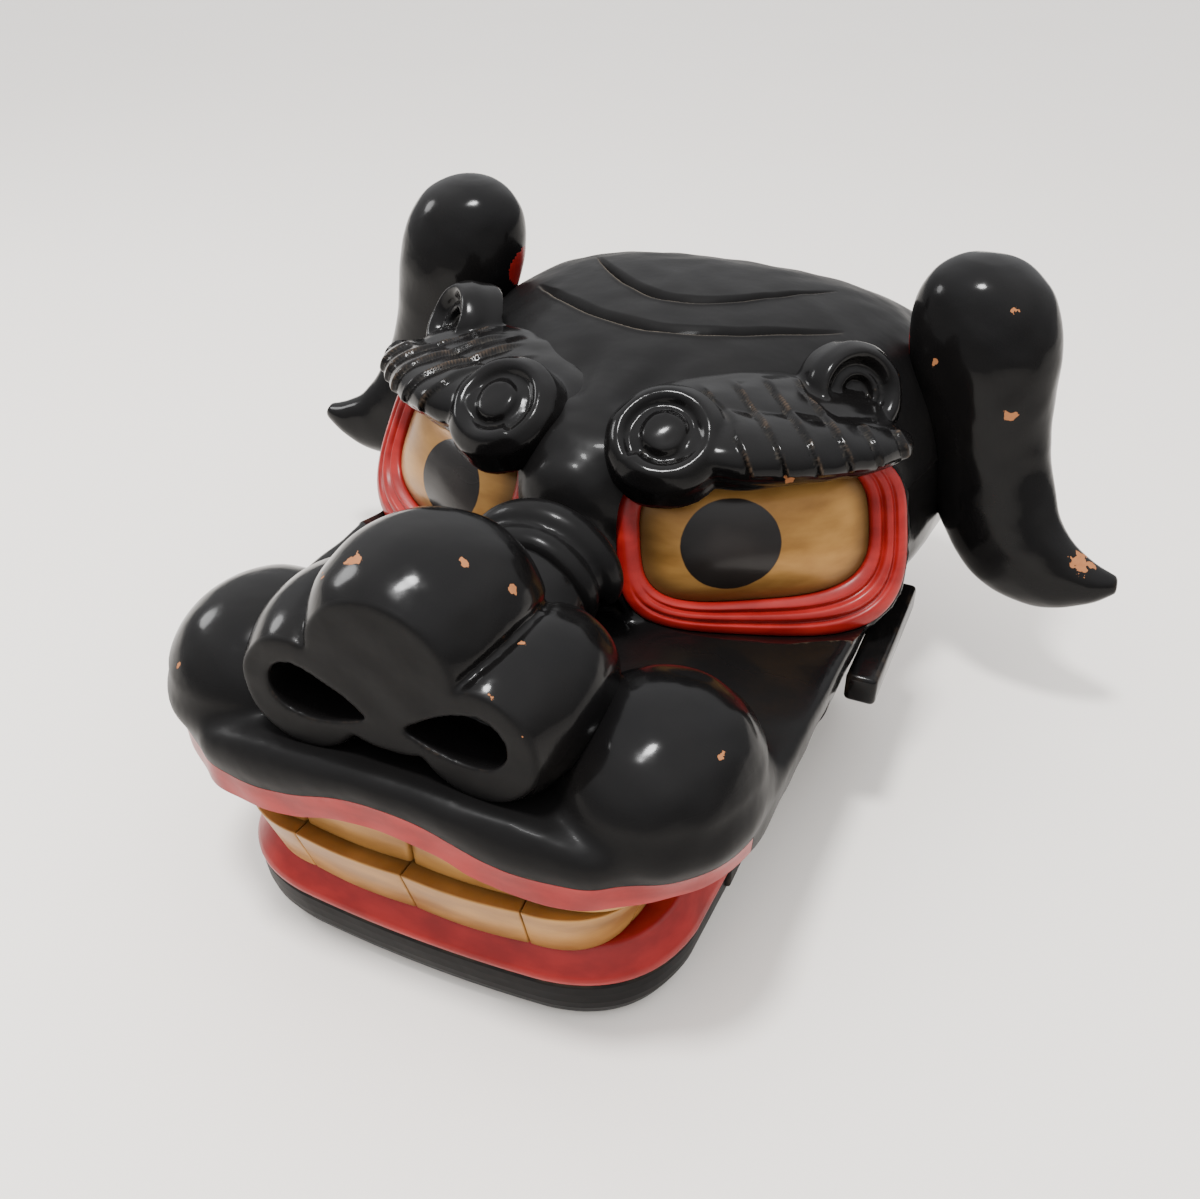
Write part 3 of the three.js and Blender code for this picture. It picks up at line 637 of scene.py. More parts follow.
def snail_curl(at, facing, radius, boss, high, ring, off):
    bm, share, angle = clay_ball(128, 140)
    top = share > 0.5
    rho = np.where(top, (1 - share) * 2, share * 2)
    reach = radius * np.where(top, rho, np.minimum(1, rho * 1.6))
    wound = np.mod(angle / (2 * math.pi) + 0.35, 1)
    groove = boss + 2 + off * wound
    dome = high + 1.6 * (1 - np.minimum(1, reach / boss) ** 2)
    button = dome * (1 - smooth_step(boss * 0.82, boss * 1.1, reach))
    button = button - 1.4 * np.exp(-((reach - groove) / 2.4) ** 2)
    across = np.clip((reach - groove) / (radius - groove), 0, 1)
    tyre = ring * np.sin(np.clip(across * 1.05, 0, 1) * math.pi) ** 0.8
    ledge = -5 * smooth_step(0.66, 0.97, rho) - 9 * smooth_step(0.92, 1.0, rho)
    height = np.where(top, button + tyre + ledge, -15 - 9 * (1 - rho))
    set_points(bm, reach * np.cos(angle), reach * np.sin(angle), height)
    turn = Vector((0, 0, 1)).rotation_difference(Vector(facing).normalized()).to_matrix().to_4x4()
    bm.transform(Matrix.Translation(Vector(at) * MM) @ turn)
    return bm


brow_forms = [bar(brow_rows, (0, 0, 1), 160, 220, 8), round_form(**BROW_SHELF)]
brow_forms += [snail_curl(**inner_curl), snail_curl(**outer_curl)]
brow_left = fuse(joined("brow_left", brow_forms), 1.2, 4)
print("brow", len(brow_left.data.polygons), "faces")

# %% [markdown]
# A band is a step followed by a long slope, repeated at a fixed pitch along one slanting direction.
# It fades out towards the forehead, below, and at the curls. The right brow is the left one mirrored.

# %% Bands of the brows
BAND_WAY, BAND_START, BAND_PITCH, BAND_STEP = (0.79, 0.61, 0.30), 115, 17, 3.2


def carve_bands(made):
    places, normals = mesh_points(made) / MM, mesh_normals(made)
    along = places @ np.array(BAND_WAY) - BAND_START
    across = places @ np.array([-BAND_WAY[1], BAND_WAY[0], 0])
    saw = np.mod(along / BAND_PITCH, 1)
    push = BAND_STEP * smooth_step(0, 0.15, saw) * (1 - 0.9 * saw)
    push *= smooth_step(0, 2, along) * smooth_step(-12, -30, across) * smooth_step(-0.5, 0, normals[:, 2])
    for curl in (inner_curl, outer_curl):
        away = np.linalg.norm(places - np.array(curl["at"]), axis=1) / curl["radius"]
        push *= smooth_step(0.98, 1.12, away)
    push_out(made, push)


carve_bands(brow_left)
brow_right = copy_of(brow_left, "brow_right")
brow_right.data.transform(Matrix.Scale(-1, 4, (1, 0, 0)))
brow_right.data.flip_normals()
for brow in (brow_left, brow_right):
    uneven(brow, 0.7)
print("brows", brow_left.name, brow_right.name)

# %% [markdown]
# The eye rim is a ring with three ridges, made from a grid whose ends are welded. One direction of
# the grid runs round the eye, the other round the rim's section: outer wall, face, inner wall, foot.
# The eyeball is a ball pressed flat behind and swelling in front.

# %% Eyes
OUTER_WALL, FACE_END, INNER_WALL = 0.08, 0.82, 0.90
RIM_EDGE, RIM_SWELL, RIDGE_DEPTH, RIDGE_WIDTH = 1.5, 4.6, 2.6, 0.06
BALL_BACK, BALL_FRONT, BALL_SWELL = 0.25, 0.4, 15


def eye_rim(side, name):
    bm = bmesh.new()
    bmesh.ops.create_grid(bm, x_segments=180, y_segments=72, size=1)
    sheet = points_of(bm)
    angle = sheet[:, 0] * math.pi
    turn = (sheet[:, 1] + 1) / 2
    face = np.clip((turn - OUTER_WALL) / (FACE_END - OUTER_WALL), 0, 1)
    inward = np.where(turn > INNER_WALL, 1 - (turn - INNER_WALL) / (1 - INNER_WALL), face)
    carved = np.clip(0.35 + 0.9 * np.cos(angle + 0.9), 0, 1)
    grooves = sum(np.exp(-((face - middle) / RIDGE_WIDTH) ** 2) for middle in (0.36, 0.68))
    ridges = RIM_EDGE + RIM_SWELL * np.sin(face * math.pi) ** 0.45 - RIDGE_DEPTH * carved * grooves
    wall = EYE_POCKET + RIM_EDGE
    sunk = np.clip((turn - FACE_END) / (INNER_WALL - FACE_END), 0, 1)
    out = np.where(turn < OUTER_WALL, wall * turn / OUTER_WALL - EYE_POCKET, ridges)
    out = np.where(turn > FACE_END, RIM_EDGE - wall * sunk, out)
    outer_along, outer_up = eye_outline(RIM, angle)
    inner_along, inner_up = eye_outline(BALL, angle, GAP)
    along = outer_along + (inner_along - outer_along) * inward
    up = outer_up + (inner_up - outer_up) * inward
    move_points(bm, eye_place(along, up, out, side) * MM)
    bmesh.ops.remove_doubles(bm, verts=bm.verts, dist=1e-6)
    return settle(object_from(bm, name))


def eyeball(side, name):
    bm, share, angle = clay_ball(160, 120)
    front = share > BALL_FRONT
    spread = np.where(front, (1 - share) / (1 - BALL_FRONT), np.minimum(1, share / BALL_BACK))
    along, up = eye_outline(BALL, angle)
    dome = 1 + BALL_SWELL * (1 - spread ** 2.6)
    rise = np.clip((share - BALL_BACK) / (BALL_FRONT - BALL_BACK), 0, 1)
    out = np.where(front, dome, (EYE_POCKET + 1) * rise - EYE_POCKET)
    move_points(bm, eye_place(along * spread, up * spread, out, side) * MM)
    return settle(object_from(bm, name))


rims = [eye_rim(1, "rim_left"), eye_rim(-1, "rim_right")]
balls = [eyeball(1, "gold_eye_left"), eyeball(-1, "gold_eye_right")]
print("eyes", [len(made.data.polygons) for made in rims + balls])

# %% [markdown]
# Teeth and jaw follow one outline in plan: a gently bowed front, two round corners and two sides.
# A tooth is a cube with softened edges that is bent along that outline.

# %% The outline of the jaw and the teeth
CORNER_PULL = 0.12


def arch_line(front_y, half, back_y, back_half, corner, inset, count=400):
    """Points along the arch at even steps, with the length from its middle."""
    front, side = front_y + inset, half - inset
    turn = max(6, corner - inset)
    pull = turn * CORNER_PULL
    left = bend((-side, front + turn), (-side + pull, front + pull), (-side + turn, front), 40)
    face = bend((-side + turn, front), (0, front - 6), (side - turn, front), 40)
    right = bend((side - turn, front), (side - pull, front + pull), (side, front + turn), 40)
    start = np.array([[-(back_half - inset), back_y]])
    finish = np.array([[side, front + turn], [back_half - inset, back_y]])
    line = np.concatenate([start, left, face, right, finish])
    length = np.concatenate([[0], np.cumsum(np.linalg.norm(np.diff(line, axis=0), axis=1))])
    even = np.linspace(0, length[-1], count)
    points = np.stack([np.interp(even, length, line[:, axis]) for axis in (0, 1)], axis=1)
    return points, even - length[-1] / 2


def soften_edges(bm, edges, offset, segments):
    bmesh.ops.bevel(bm, geom=list(edges), offset=offset, segments=segments, profile=0.5, affect="EDGES",
                    material=-1)


upper_row = {
    "front_y": -217, "half": 116, "back_y": -130, "low": 79, "high": 124,
    "thick": 12, "lean": 3, "shift": 0, "gap": 0.8, "soft": 2.4,
}
lower_row = {
    "front_y": -221, "half": 109, "back_y": -120, "low": 46, "high": 77.5,
    "thick": 14, "lean": 10, "shift": -3, "gap": 0.5, "soft": 1.0,
}
TEETH_CORNER, TOOTH_SWELL = 46, 1.2
tooth_edges = [-196, -126, -60, 0, 60, 126, 196]


def tooth(row, start, end):
    bm = bmesh.new()
    bmesh.ops.create_cube(bm, size=1)
    tall, deep, long = row["high"] - row["low"], row["thick"], end - start - row["gap"]
    bm.transform(Matrix.Diagonal((long, deep, tall, 1)))
    soften_edges(bm, bm.edges, row["soft"], 4)
    long_edges = [edge for edge in bm.edges if abs(edge.verts[0].co.x - edge.verts[1].co.x) > long / 2]
    bmesh.ops.subdivide_edges(bm, edges=long_edges, cuts=36, use_grid_fill=True)
    places = points_of(bm)
    line, length = arch_line(row["front_y"], row["half"], row["back_y"], row["half"] + 4, TEETH_CORNER, 0)

    def on_line(place):
        return np.stack([np.interp(place, length, line[:, axis]) for axis in (0, 1)], axis=1)

    along = places[:, 0] + (start + end) / 2
    way = on_line(along + 1) - on_line(along - 1)
    way /= np.linalg.norm(way, axis=1, keepdims=True)
    inside = np.stack([-way[:, 1], way[:, 0]], axis=1)
    rise = places[:, 2] / tall + 0.5
    swell = TOOTH_SWELL * np.cos(places[:, 0] / long * math.pi) * (places[:, 1] < 0)
    depth = places[:, 1] + deep / 2 + row["lean"] * (1 - rise) - swell + TOOTH_SWELL
    flat = on_line(along) + inside * depth[:, None]
    level = row["low"] + rise * tall
    set_points(bm, flat[:, 0] + row["shift"], flat[:, 1], level)
    return bm


def teeth(row, name):
    forms = [tooth(row, start, end) for start, end in zip(tooth_edges, tooth_edges[1:])]
    return settle(joined(name, forms))


gold_upper, gold_lower = teeth(upper_row, "gold_teeth_upper"), teeth(lower_row, "gold_teeth_lower")
print("teeth", len(gold_upper.data.polygons), len(gold_lower.data.polygons))

# %% [markdown]
# The jaw hull is a tray. It grows from one flat outline that is pushed up step by step, like stacked
# boards, then inwards over the rim and down to the floor of the mouth. The red lip is stacked in the
# same way, but joined to its own start, which leaves it open in the middle.

# %% Jaw
JAW = {"front_y": -215, "half": 122, "rear_half": 131, "rear_y": 92, "corner": 56, "shift": -3}
JAW_LIP_END_Y = -118.3
RING, REAR = 240, 20


def jaw_ring(inset, level):
    """The jaw's outline as one closed row of points at a level."""
    rear_y = JAW["rear_y"] - inset / 2
    line, _ = arch_line(JAW["front_y"], JAW["half"], rear_y, JAW["rear_half"], JAW["corner"], inset,
                        RING - REAR)
    rear = np.linspace(line[-1], line[0], REAR + 2)[1:-1]
    ring = np.concatenate([line, rear])
    return np.stack([ring[:, 0] + JAW["shift"], ring[:, 1], np.full(RING, level)], axis=1) * MM


def stacked(steps):
    """Outlines stacked from a flat start; each step is an inset and a level."""
    bm = bmesh.new()
    bmesh.ops.create_circle(bm, cap_ends=True, segments=RING, radius=1)
    bm.faces.ensure_lookup_table()
    face = bm.faces[0]
    for number, step in enumerate(steps):
        if number:
            made = bmesh.ops.extrude_face_region(bm, geom=[face])
            face = next(item for item in made["geom"] if isinstance(item, bmesh.types.BMFace))
        for vert, place in zip(face.verts, jaw_ring(*step)):
            vert.co = place
    return bm


def stacked_ring(steps):
    """The same, but open in the middle: the last outline is joined to the first."""
    bm = stacked(steps)
    caps = [face for face in bm.faces if len(face.verts) == RING]
    bmesh.ops.delete(bm, geom=caps, context="FACES_ONLY")
    bmesh.ops.bridge_loops(bm, edges=[edge for edge in bm.edges if edge.is_boundary])
    return bm


hull_steps = [(11, 0), (8.5, 1), (6, 3.4), (4, 7), (2, 11), (0.8, 16), (0.2, 22), (0, 27)]
tray_steps = [(0.6, 28.7), (2, 29), (24, 29), (26, 28), (27, 20), (29, 16), (34, 15)]
hull = stacked(hull_steps + tray_steps)
lip_front = [(3, 29.3), (0.5, 29.6), (-1, 31), (-1, 33), (0.5, 35), (5, 40), (9, 44), (11, 45.7), (13, 45.7)]
lip_back = [(24, 45.7), (26, 44), (26, 31), (24, 29.3)]
print("hull", len(hull.faces), "faces")

# %% [markdown]
# Behind the teeth a low wall runs back on each side to a block with a round knuckle, which turns on
# the hinge pin. All of these are blocks and a cylinder with softened edges.

# %% Jaw arms
HINGE = Vector((0, 58, 92))
ARM_WALL = {"x": (116, 126), "y": (-118, 88), "z": (20, 80)}
ARM_BLOCK = {"x": (116, 131), "y": (36, 88), "z": (20, 80)}
KNUCKLE_RADIUS, ARM_SOFT, KNUCKLE_SOFT = 18, 2, 1.5


def arm(side):
    forms = [side_block(box, side, JAW["shift"]) for box in (ARM_WALL, ARM_BLOCK)]
    for form in forms:
        soften_edges(form, form.edges, ARM_SOFT * MM, 3)
    inner, outer = sorted(side * edge + JAW["shift"] for edge in ARM_BLOCK["x"])
    radius = KNUCKLE_RADIUS * MM
    knuckle = bmesh.new()
    bmesh.ops.create_cone(knuckle, cap_ends=True, segments=64, radius1=radius, radius2=radius,
                          depth=(outer - inner) * MM)
    middle = Vector(((inner + outer) / 2, HINGE.y, HINGE.z)) * MM
    knuckle.transform(Matrix.Translation(middle) @ Matrix.Rotation(math.pi / 2, 4, "Y"))
    rim = [edge for edge in knuckle.edges if len(edge.link_faces) == 2 and edge.calc_face_angle(0) > 1]
    soften_edges(knuckle, rim, KNUCKLE_SOFT * MM, 3)
    return forms + [knuckle]


jaw = settle(joined("jaw_wood", [hull] + arm(1) + arm(-1)))
jaw_lip = object_from(stacked_ring(lip_front + lip_back), "jaw_red_lip")
cut_away(jaw_lip, [block((-WIDE, JAW_LIP_END_Y, 0), (WIDE, WIDE, 100))])
print("jaw", len(jaw.data.polygons), "lip", len(jaw_lip.data.polygons))

# %% [markdown]
# The ears are soft boot shapes that hang over the side of the head. They are lofted along a spine and
# scooped out behind, where the wood is painted red. The battens are plain strips under the ears.

# %% Ears and battens
ear_rows = table(
    "x y z wide thick lean",
    (165, 160, 280.5, 4, 3, 0), (166, 160, 277, 18, 15, 0), (167, 159, 268, 31, 26, 0),
    (169, 158, 252, 40, 33, 0), (172, 155, 230, 43, 36, 2), (177, 151, 202, 40, 34, 8),
    (185, 146, 172, 36, 29, 16), (196, 140, 142, 35, 24, 32), (213, 134, 118, 33, 21, 54),
    (236, 129, 106, 25, 17, 74), (258, 125, 106, 14, 12, 92), (274, 123, 110, 5, 5, 100),
)
EAR_SCOOP = {"at": (176, 186, 214), "radii": (26, 26, 46)}
SCOOP_TURN, EAR_CAP = 0.16, 0.02
EAR_DROP = {"left": 8, "right": 0}


def lowered(at, drop):
    return (at[0], at[1], at[2] - drop)


def ear(side, drop, name):
    bm, share, angle = clay_ball(72, 140)
    steps = numbered(ear_rows)
    at = np.clip((share - EAR_CAP) / (1 - 2 * EAR_CAP), 0, 1) * (len(ear_rows) - 1)
    value = {key: smooth_between(steps, "step", key, at) for key in ear_rows[0]}
    end = np.clip(np.minimum(share, 1 - share) / EAR_CAP, 0, 1)
    lean = np.radians(value["lean"])
    across = np.cos(angle) * value["wide"] * end
    x = value["x"] + np.cos(lean) * across
    y = value["y"] - np.sin(angle) * value["thick"] * end
    z = value["z"] - drop + np.sin(lean) * across
    set_points(bm, x * side, y, z)
    made = object_from(bm, name)
    at_x, at_y, at_z = lowered(EAR_SCOOP["at"], drop)
    cut_away(made, [round_form((at_x * side, at_y, at_z), EAR_SCOOP["radii"], (0, SCOOP_TURN * side, 0))])
    fuse(made, 1.8, 4)
    uneven(made, 0.4)
    return made


def batten(side, name):
    strip = side_block(BATTEN, side)
    soften_edges(strip, strip.edges, 3 * MM, 4)
    return settle(object_from(strip, name))


ears = [ear(1, EAR_DROP["left"], "ear_wood_left"), ear(-1, EAR_DROP["right"], "ear_wood_right")]
battens = [batten(1, "side_batten_left"), batten(-1, "side_batten_right")]
print("ears", [len(made.data.polygons) for made in ears])

# %% [markdown]
# The inside of the head, the scoop and a small facet on the ear's inner side have another finish than
# the skin. Faces take a second material slot where their middle lies in a given place.

# %% Which faces take the second material
def face_middles(made):
    return read_vectors(made.data.polygons, "center") / MM


def second_slot(made, chosen):
    made.data.polygons.foreach_set("material_index", chosen.astype(np.int32))
    print(made.name, int(chosen.sum()), "faces take the second material")


def in_hollow(places):
    x, y, z = places.T
    centre, power = HOLLOW["centre_z"], HOLLOW["squareness"]
    half = smooth_between(hollow_rows, "y", "half", y)
    high = smooth_between(hollow_rows, "y", "top", y) - centre
    reach = np.where(z > centre, high, centre - HOLLOW["base_z"])
    value = (np.abs(x) / half) ** power + (np.abs(z - centre) / reach) ** power
    return (value < 1.06) & (y > hollow_rows[0]["y"] - 3)


def in_room(places):
    """In the room for the hinge, or within a millimetre of it."""
    low, high = np.array([HINGE_ROOM[axis] for axis in "xyz"]).T
    folded = np.column_stack([np.abs(places[:, 0]), places[:, 1:]])
    return ((folded > low - 1) & (folded < high + 1)).all(axis=1)


# %% [markdown]
# Worn edges, hollows and chipped spots come from three numbers stored at each point. Worn and
# hollow are measured from the mesh: how far a point stands above or below its neighbours. Chips are
# soft spots at chosen places, and the material breaks their edge up with noise. The hollow number
# lays grey dust on black lacquer and makes red and gold darker.

# %% Marks of use
chips = table(
    "x y z size",
    (-17, -206, 234, 4.8), (-31, -209, 223, 3.7), (24, -192, 235, 3.3), (41, -182, 220, 3),
    (51, -220, 196, 4.1), (51, -194, 204, 3.3), (131, -182, 164, 3.7), (196, 121, 196, 5.2),
    (253, 120, 114, 9), (192, 116, 144, 3.3), (186, 133, 252, 3.7), (150, 125, 218, 3.3),
    (109, -21, 207, 3.7), (36, -24, 241, 3), (-120, -211, 153, 2.6), (150, -40, 96, 6.7),
    (152, -70, 96, 5.2),
)


def store(made, name, values):
    made.data.attributes.new(name, "FLOAT", "POINT").data.foreach_set("value", values.astype(np.float32))


def mark_use(made):
    places, normals = mesh_points(made) / MM, mesh_normals(made)
    ends = np.empty(len(made.data.edges) * 2, dtype=np.int32)
    made.data.edges.foreach_get("vertices", ends)
    first, second = ends.reshape(-1, 2).T

    def gathered(at_first, at_second):
        """Sum over the edges that meet at each point."""
        total = np.zeros(len(places))
        np.add.at(total, first, at_first)
        np.add.at(total, second, at_second)
        return total

    way = places[first] - places[second]
    way /= np.maximum(np.linalg.norm(way, axis=1, keepdims=True), 1e-6)
    count = np.maximum(gathered(1, 1), 1)
    bend_out = gathered((way * normals[first]).sum(axis=1), -(way * normals[second]).sum(axis=1)) / count
    bend_out = 0.5 * bend_out + 0.5 * gathered(bend_out[second], bend_out[first]) / count
    chip = np.zeros(len(places))
    for spot in chips:
        away = np.linalg.norm(places - np.array([spot["x"], spot["y"], spot["z"]]), axis=1)
        chip = np.maximum(chip, np.clip(1.5 - away / spot["size"], 0, 1))
    store(made, "worn", smooth_step(0.10, 0.34, bend_out))
    store(made, "hollow_mark", smooth_step(0.08, 0.26, -bend_out))
    store(made, "chip", chip)


# %% [markdown]
# A material is a small tree of nodes. These helpers add a node, wire numbers or other nodes into its
# sockets, and mix two colours. Noise is read in object coordinates, so it stays on the wood.

# %% Node helpers
def plug(tree, socket, value):
    """Wires a node's output into a socket, or sets the socket's own value."""
    if isinstance(value, bpy.types.NodeSocket):
        tree.links.new(value, socket)
    else:
        socket.default_value = value


def wire(tree, node, **inputs):
    for name, value in inputs.items():
        plug(tree, node.inputs[name.replace("_", " ")], value)


def add(tree, kind, settings=None, **inputs):
    node = tree.nodes.new(kind)
    for name, value in (settings or {}).items():
        setattr(node, name, value)
    wire(tree, node, **inputs)
    return node


def mixed(tree, factor, low, high):
    node = add(tree, "ShaderNodeMix", {"data_type": "RGBA"})
    plug(tree, node.inputs[0], factor)
    for index, colour in ((6, low), (7, high)):
        plug(tree, node.inputs[index], (*colour, 1) if isinstance(colour, tuple) else colour)
    return node.outputs[2]


def sums(tree, kind, first, second):
    node = add(tree, "ShaderNodeMath", {"operation": kind})
    plug(tree, node.inputs[0], first)
    plug(tree, node.inputs[1], second)
    return node.outputs[0]


def times(tree, first, second):
    return sums(tree, "MULTIPLY", first, second)


def plus(tree, first, second):
    return sums(tree, "ADD", first, second)


def noise(tree, scale, detail=4.0, stretch=(1, 1, 1)):
    place = add(tree, "ShaderNodeTexCoord").outputs["Object"]
    spread = add(tree, "ShaderNodeMapping", Vector=place, Scale=stretch).outputs[0]
    return add(tree, "ShaderNodeTexNoise", Vector=spread, Scale=scale, Detail=detail).outputs[0]


def ramp(tree, value, low, high):
    return add(tree, "ShaderNodeMapRange", {"interpolation_type": "SMOOTHSTEP"}, Value=value,
               From_Min=low, From_Max=high).outputs[0]


def stored(tree, name):
    return add(tree, "ShaderNodeAttribute", {"attribute_name": name}).outputs["Fac"]


def new_material(name):
    made = bpy.data.materials.new(name)
    made.use_nodes = True
    return made, made.node_tree, made.node_tree.nodes["Principled BSDF"]


def layered(tree, color, *layers):
    """Colours laid over each other, each with its mask and how much of it shows."""
    for mask, share, paint in layers:
        color = mixed(tree, times(tree, mask, share), color, paint)
    return color


def bump(tree, height, strength):
    return add(tree, "ShaderNodeBump", Height=height, Strength=strength, Distance=2 * MM).outputs[0]


# %% [markdown]
# Black lacquer is nearly black with a thin clear coat. It turns satin where the stored number says so,
# grey with dust in grooves, tan along worn edges and the colour of bare wood in chips. Where the groove
# number is high, behind each crescent's edge, the shine is turned down: a painted shade for the groove's
# shadow.

# %% Black lacquer
BARE, BARE_DARK = (0.36, 0.15, 0.06), (0.27, 0.10, 0.04)
DUST, WORN, CUT_EDGE = (0.10, 0.085, 0.065), (0.20, 0.13, 0.08), (0.15, 0.12, 0.09)
SATIN = (0.0075, 0.0072, 0.0072)


def chip_mask(tree):
    broken = plus(tree, stored(tree, "chip"), times(tree, noise(tree, 190, 7), 2.6))
    return ramp(tree, broken, 2.12, 2.17)


def black_lacquer():
    made, tree, shader = new_material("black lacquer")
    satin, bare = stored(tree, "satin"), chip_mask(tree)
    hollow_mark = times(tree, stored(tree, "hollow_mark"), ramp(tree, noise(tree, 140), 0.4, 0.7))
    worn = times(tree, stored(tree, "worn"), ramp(tree, noise(tree, 90), 0.42, 0.66))
    color = mixed(tree, noise(tree, 30), (0.0022, 0.0022, 0.0026), (0.006, 0.0054, 0.005))
    color = layered(tree, color, (hollow_mark, 0.35, DUST), (worn, 0.65, WORN), (satin, 0.5, SATIN),
                    (stored(tree, "edge"), 0.85, CUT_EDGE))
    color = mixed(tree, bare, color, mixed(tree, noise(tree, 300), BARE, BARE_DARK))
    gloss = plus(tree, times(tree, satin, 0.26), times(tree, noise(tree, 45), 0.16))
    rough = plus(tree, plus(tree, gloss, 0.10), times(tree, bare, 0.4))
    height = sums(tree, "SUBTRACT", noise(tree, 55, 2), times(tree, bare, 0.6))
    dull = sums(tree, "MAXIMUM", satin, bare)
    coat = times(tree, sums(tree, "SUBTRACT", 1.0, dull), 0.12)
    # Less shine where the groove number is high: a painted shade behind each crescent's edge.
    shine = times(tree, sums(tree, "SUBTRACT", 1.0, stored(tree, "groove")), 0.07)
    wire(tree, shader, Base_Color=color, Roughness=rough, Specular_IOR_Level=shine, Coat_Weight=coat,
         Coat_Roughness=0.09, Normal=bump(tree, height, 0.28))
    return made


# %% [markdown]
# Red lacquer is brushed on in streaks and darker in its grooves. Gold is paint with metal powder in
# it, so it is only partly metallic, and the eye's gold carries the painted pupil. Wood shows a grain
# that is long in one direction.

# %% Red, gold and wood
RED, RED_LIGHT = (0.19, 0.0055, 0.005), (0.30, 0.0125, 0.011)
RED_WORN, RED_DEEP = (0.42, 0.06, 0.05), (0.10, 0.008, 0.007)
GOLD, GOLD_LIGHT, GOLD_STAIN = (0.20, 0.092, 0.021), (0.43, 0.225, 0.062), (0.21, 0.095, 0.024)
GOLD_DEEP, GOLD_METAL = (0.06, 0.032, 0.012), 0.35


def red_lacquer():
    made, tree, shader = new_material("red lacquer")
    color = mixed(tree, ramp(tree, noise(tree, 38, 5, (1, 1, 3)), 0.3, 0.75), RED, RED_LIGHT)
    # Darker red where the hollow number is high.
    color = layered(tree, color, (stored(tree, "worn"), 0.3, RED_WORN),
                    (stored(tree, "hollow_mark"), 0.35, RED_DEEP))
    rough = plus(tree, times(tree, noise(tree, 70), 0.25), 0.22)
    wire(tree, shader, Base_Color=color, Roughness=rough, Specular_IOR_Level=0.28,
         Normal=bump(tree, noise(tree, 60, 3), 0.14))
    return made


def gold_paint(pupil):
    made, tree, shader = new_material("gold paint with pupil" if pupil else "gold paint")
    brush = noise(tree, 42, 6, (0.5, 0.5, 1.6))
    stain = ramp(tree, noise(tree, 18), 0.5, 0.75)
    color = mixed(tree, ramp(tree, brush, 0.25, 0.78), GOLD, GOLD_LIGHT)
    # Darker gold where the hollow number is high; on the eye that is the band near the rim.
    color = layered(tree, color, (stain, 0.5, GOLD_STAIN), (stored(tree, "hollow_mark"), 0.8, GOLD_DEEP))
    metal, rough = GOLD_METAL, plus(tree, times(tree, brush, 0.25), 0.24)
    if pupil:
        wavy = plus(tree, stored(tree, "pupil"), times(tree, noise(tree, 60), 0.05))
        dark = ramp(tree, wavy, 1.04, 1.01)
        black_paint = mixed(tree, noise(tree, 25), (0.006, 0.005, 0.005), (0.02, 0.016, 0.014))
        color = mixed(tree, dark, color, black_paint)
        metal = times(tree, sums(tree, "SUBTRACT", 1.0, dark), GOLD_METAL)
        rough = sums(tree, "SUBTRACT", rough, times(tree, dark, 0.14))
    wire(tree, shader, Base_Color=color, Metallic=metal, Roughness=rough, Specular_IOR_Level=0.2,
         Coat_Weight=0.08, Coat_Roughness=0.12, Normal=bump(tree, brush, 0.12))
    return made


def bare_wood(name, dark, light):
    made, tree, shader = new_material(name)
    grain = noise(tree, 70, 6, (1, 0.12, 1))
    color = mixed(tree, ramp(tree, grain, 0.3, 0.7), dark, light)
    wire(tree, shader, Base_Color=color, Roughness=0.62, Normal=bump(tree, grain, 0.25))
    return made


black, red = black_lacquer(), red_lacquer()
gold, gold_eye = gold_paint(False), gold_paint(True)
wood = bare_wood("bare wood", (0.16, 0.07, 0.03), (0.36, 0.19, 0.09))
stained = bare_wood("stained inside", (0.06, 0.017, 0.010), (0.14, 0.042, 0.024))
print("materials", [made.name for made in bpy.data.materials if made.users == 0])

# %% [markdown]
# Each piece gets its materials, its marks of use, the CAD body it moves with and the CAD nodes it
# stands for. On the head, the satin number is high on the crown, the lip and the root of the nose.
# Two more numbers mark the worn pale edge of each crescent and the band behind it where the lacquer's
# shine is cut, a painted shade for the shadow in the groove.

# %% Dress the head
def dress(made, materials, body, nodes, satin=None):
    made.data.materials.clear()
    for material in materials:
        made.data.materials.append(material)
    mark_use(made)
    store(made, "satin", np.zeros(len(made.data.vertices)) if satin is None else satin)
    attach(made, body)
    if nodes:
        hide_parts(*nodes)


x, y, z = mesh_points(head).T / MM
# edge is the worn pale line of each crescent; groove is the band behind it whose shine is cut, a painted
# shade.
edge, groove = np.zeros(len(x)), np.zeros(len(x))
for cut in crescents:
    behind, fade = crescent_place(cut, x, y, z)
    edge = np.maximum(edge, np.clip(1.5 * fade * np.exp(-((behind + 0.4) / 1.1) ** 2), 0, 1))
    groove = np.maximum(groove, 0.95 * fade * smooth_step(-0.5, 1.5, behind) * smooth_step(12, 4, behind))
crown = smooth_step(205, 222, z) * smooth_step(-10, 20, y)
low_lip = smooth_step(-40, -110, y) * smooth_step(160, 142, z)
root = smooth_step(-70, -55, y) * smooth_step(150, 165, z)
satin = np.maximum.reduce([crown * 0.9, low_lip * 0.9, root * 0.6])
dress(head, [black, stained], "head", ["head_shell"], satin)
store(head, "edge", edge)
store(head, "groove", groove)
middles = face_middles(head)
second_slot(head, in_hollow(middles) | in_room(middles))

# %% [markdown]
# The other pieces follow. The flat front of the nose and the jaw are satin, and the mouth's floor and
# the ears' scoops take their second material.

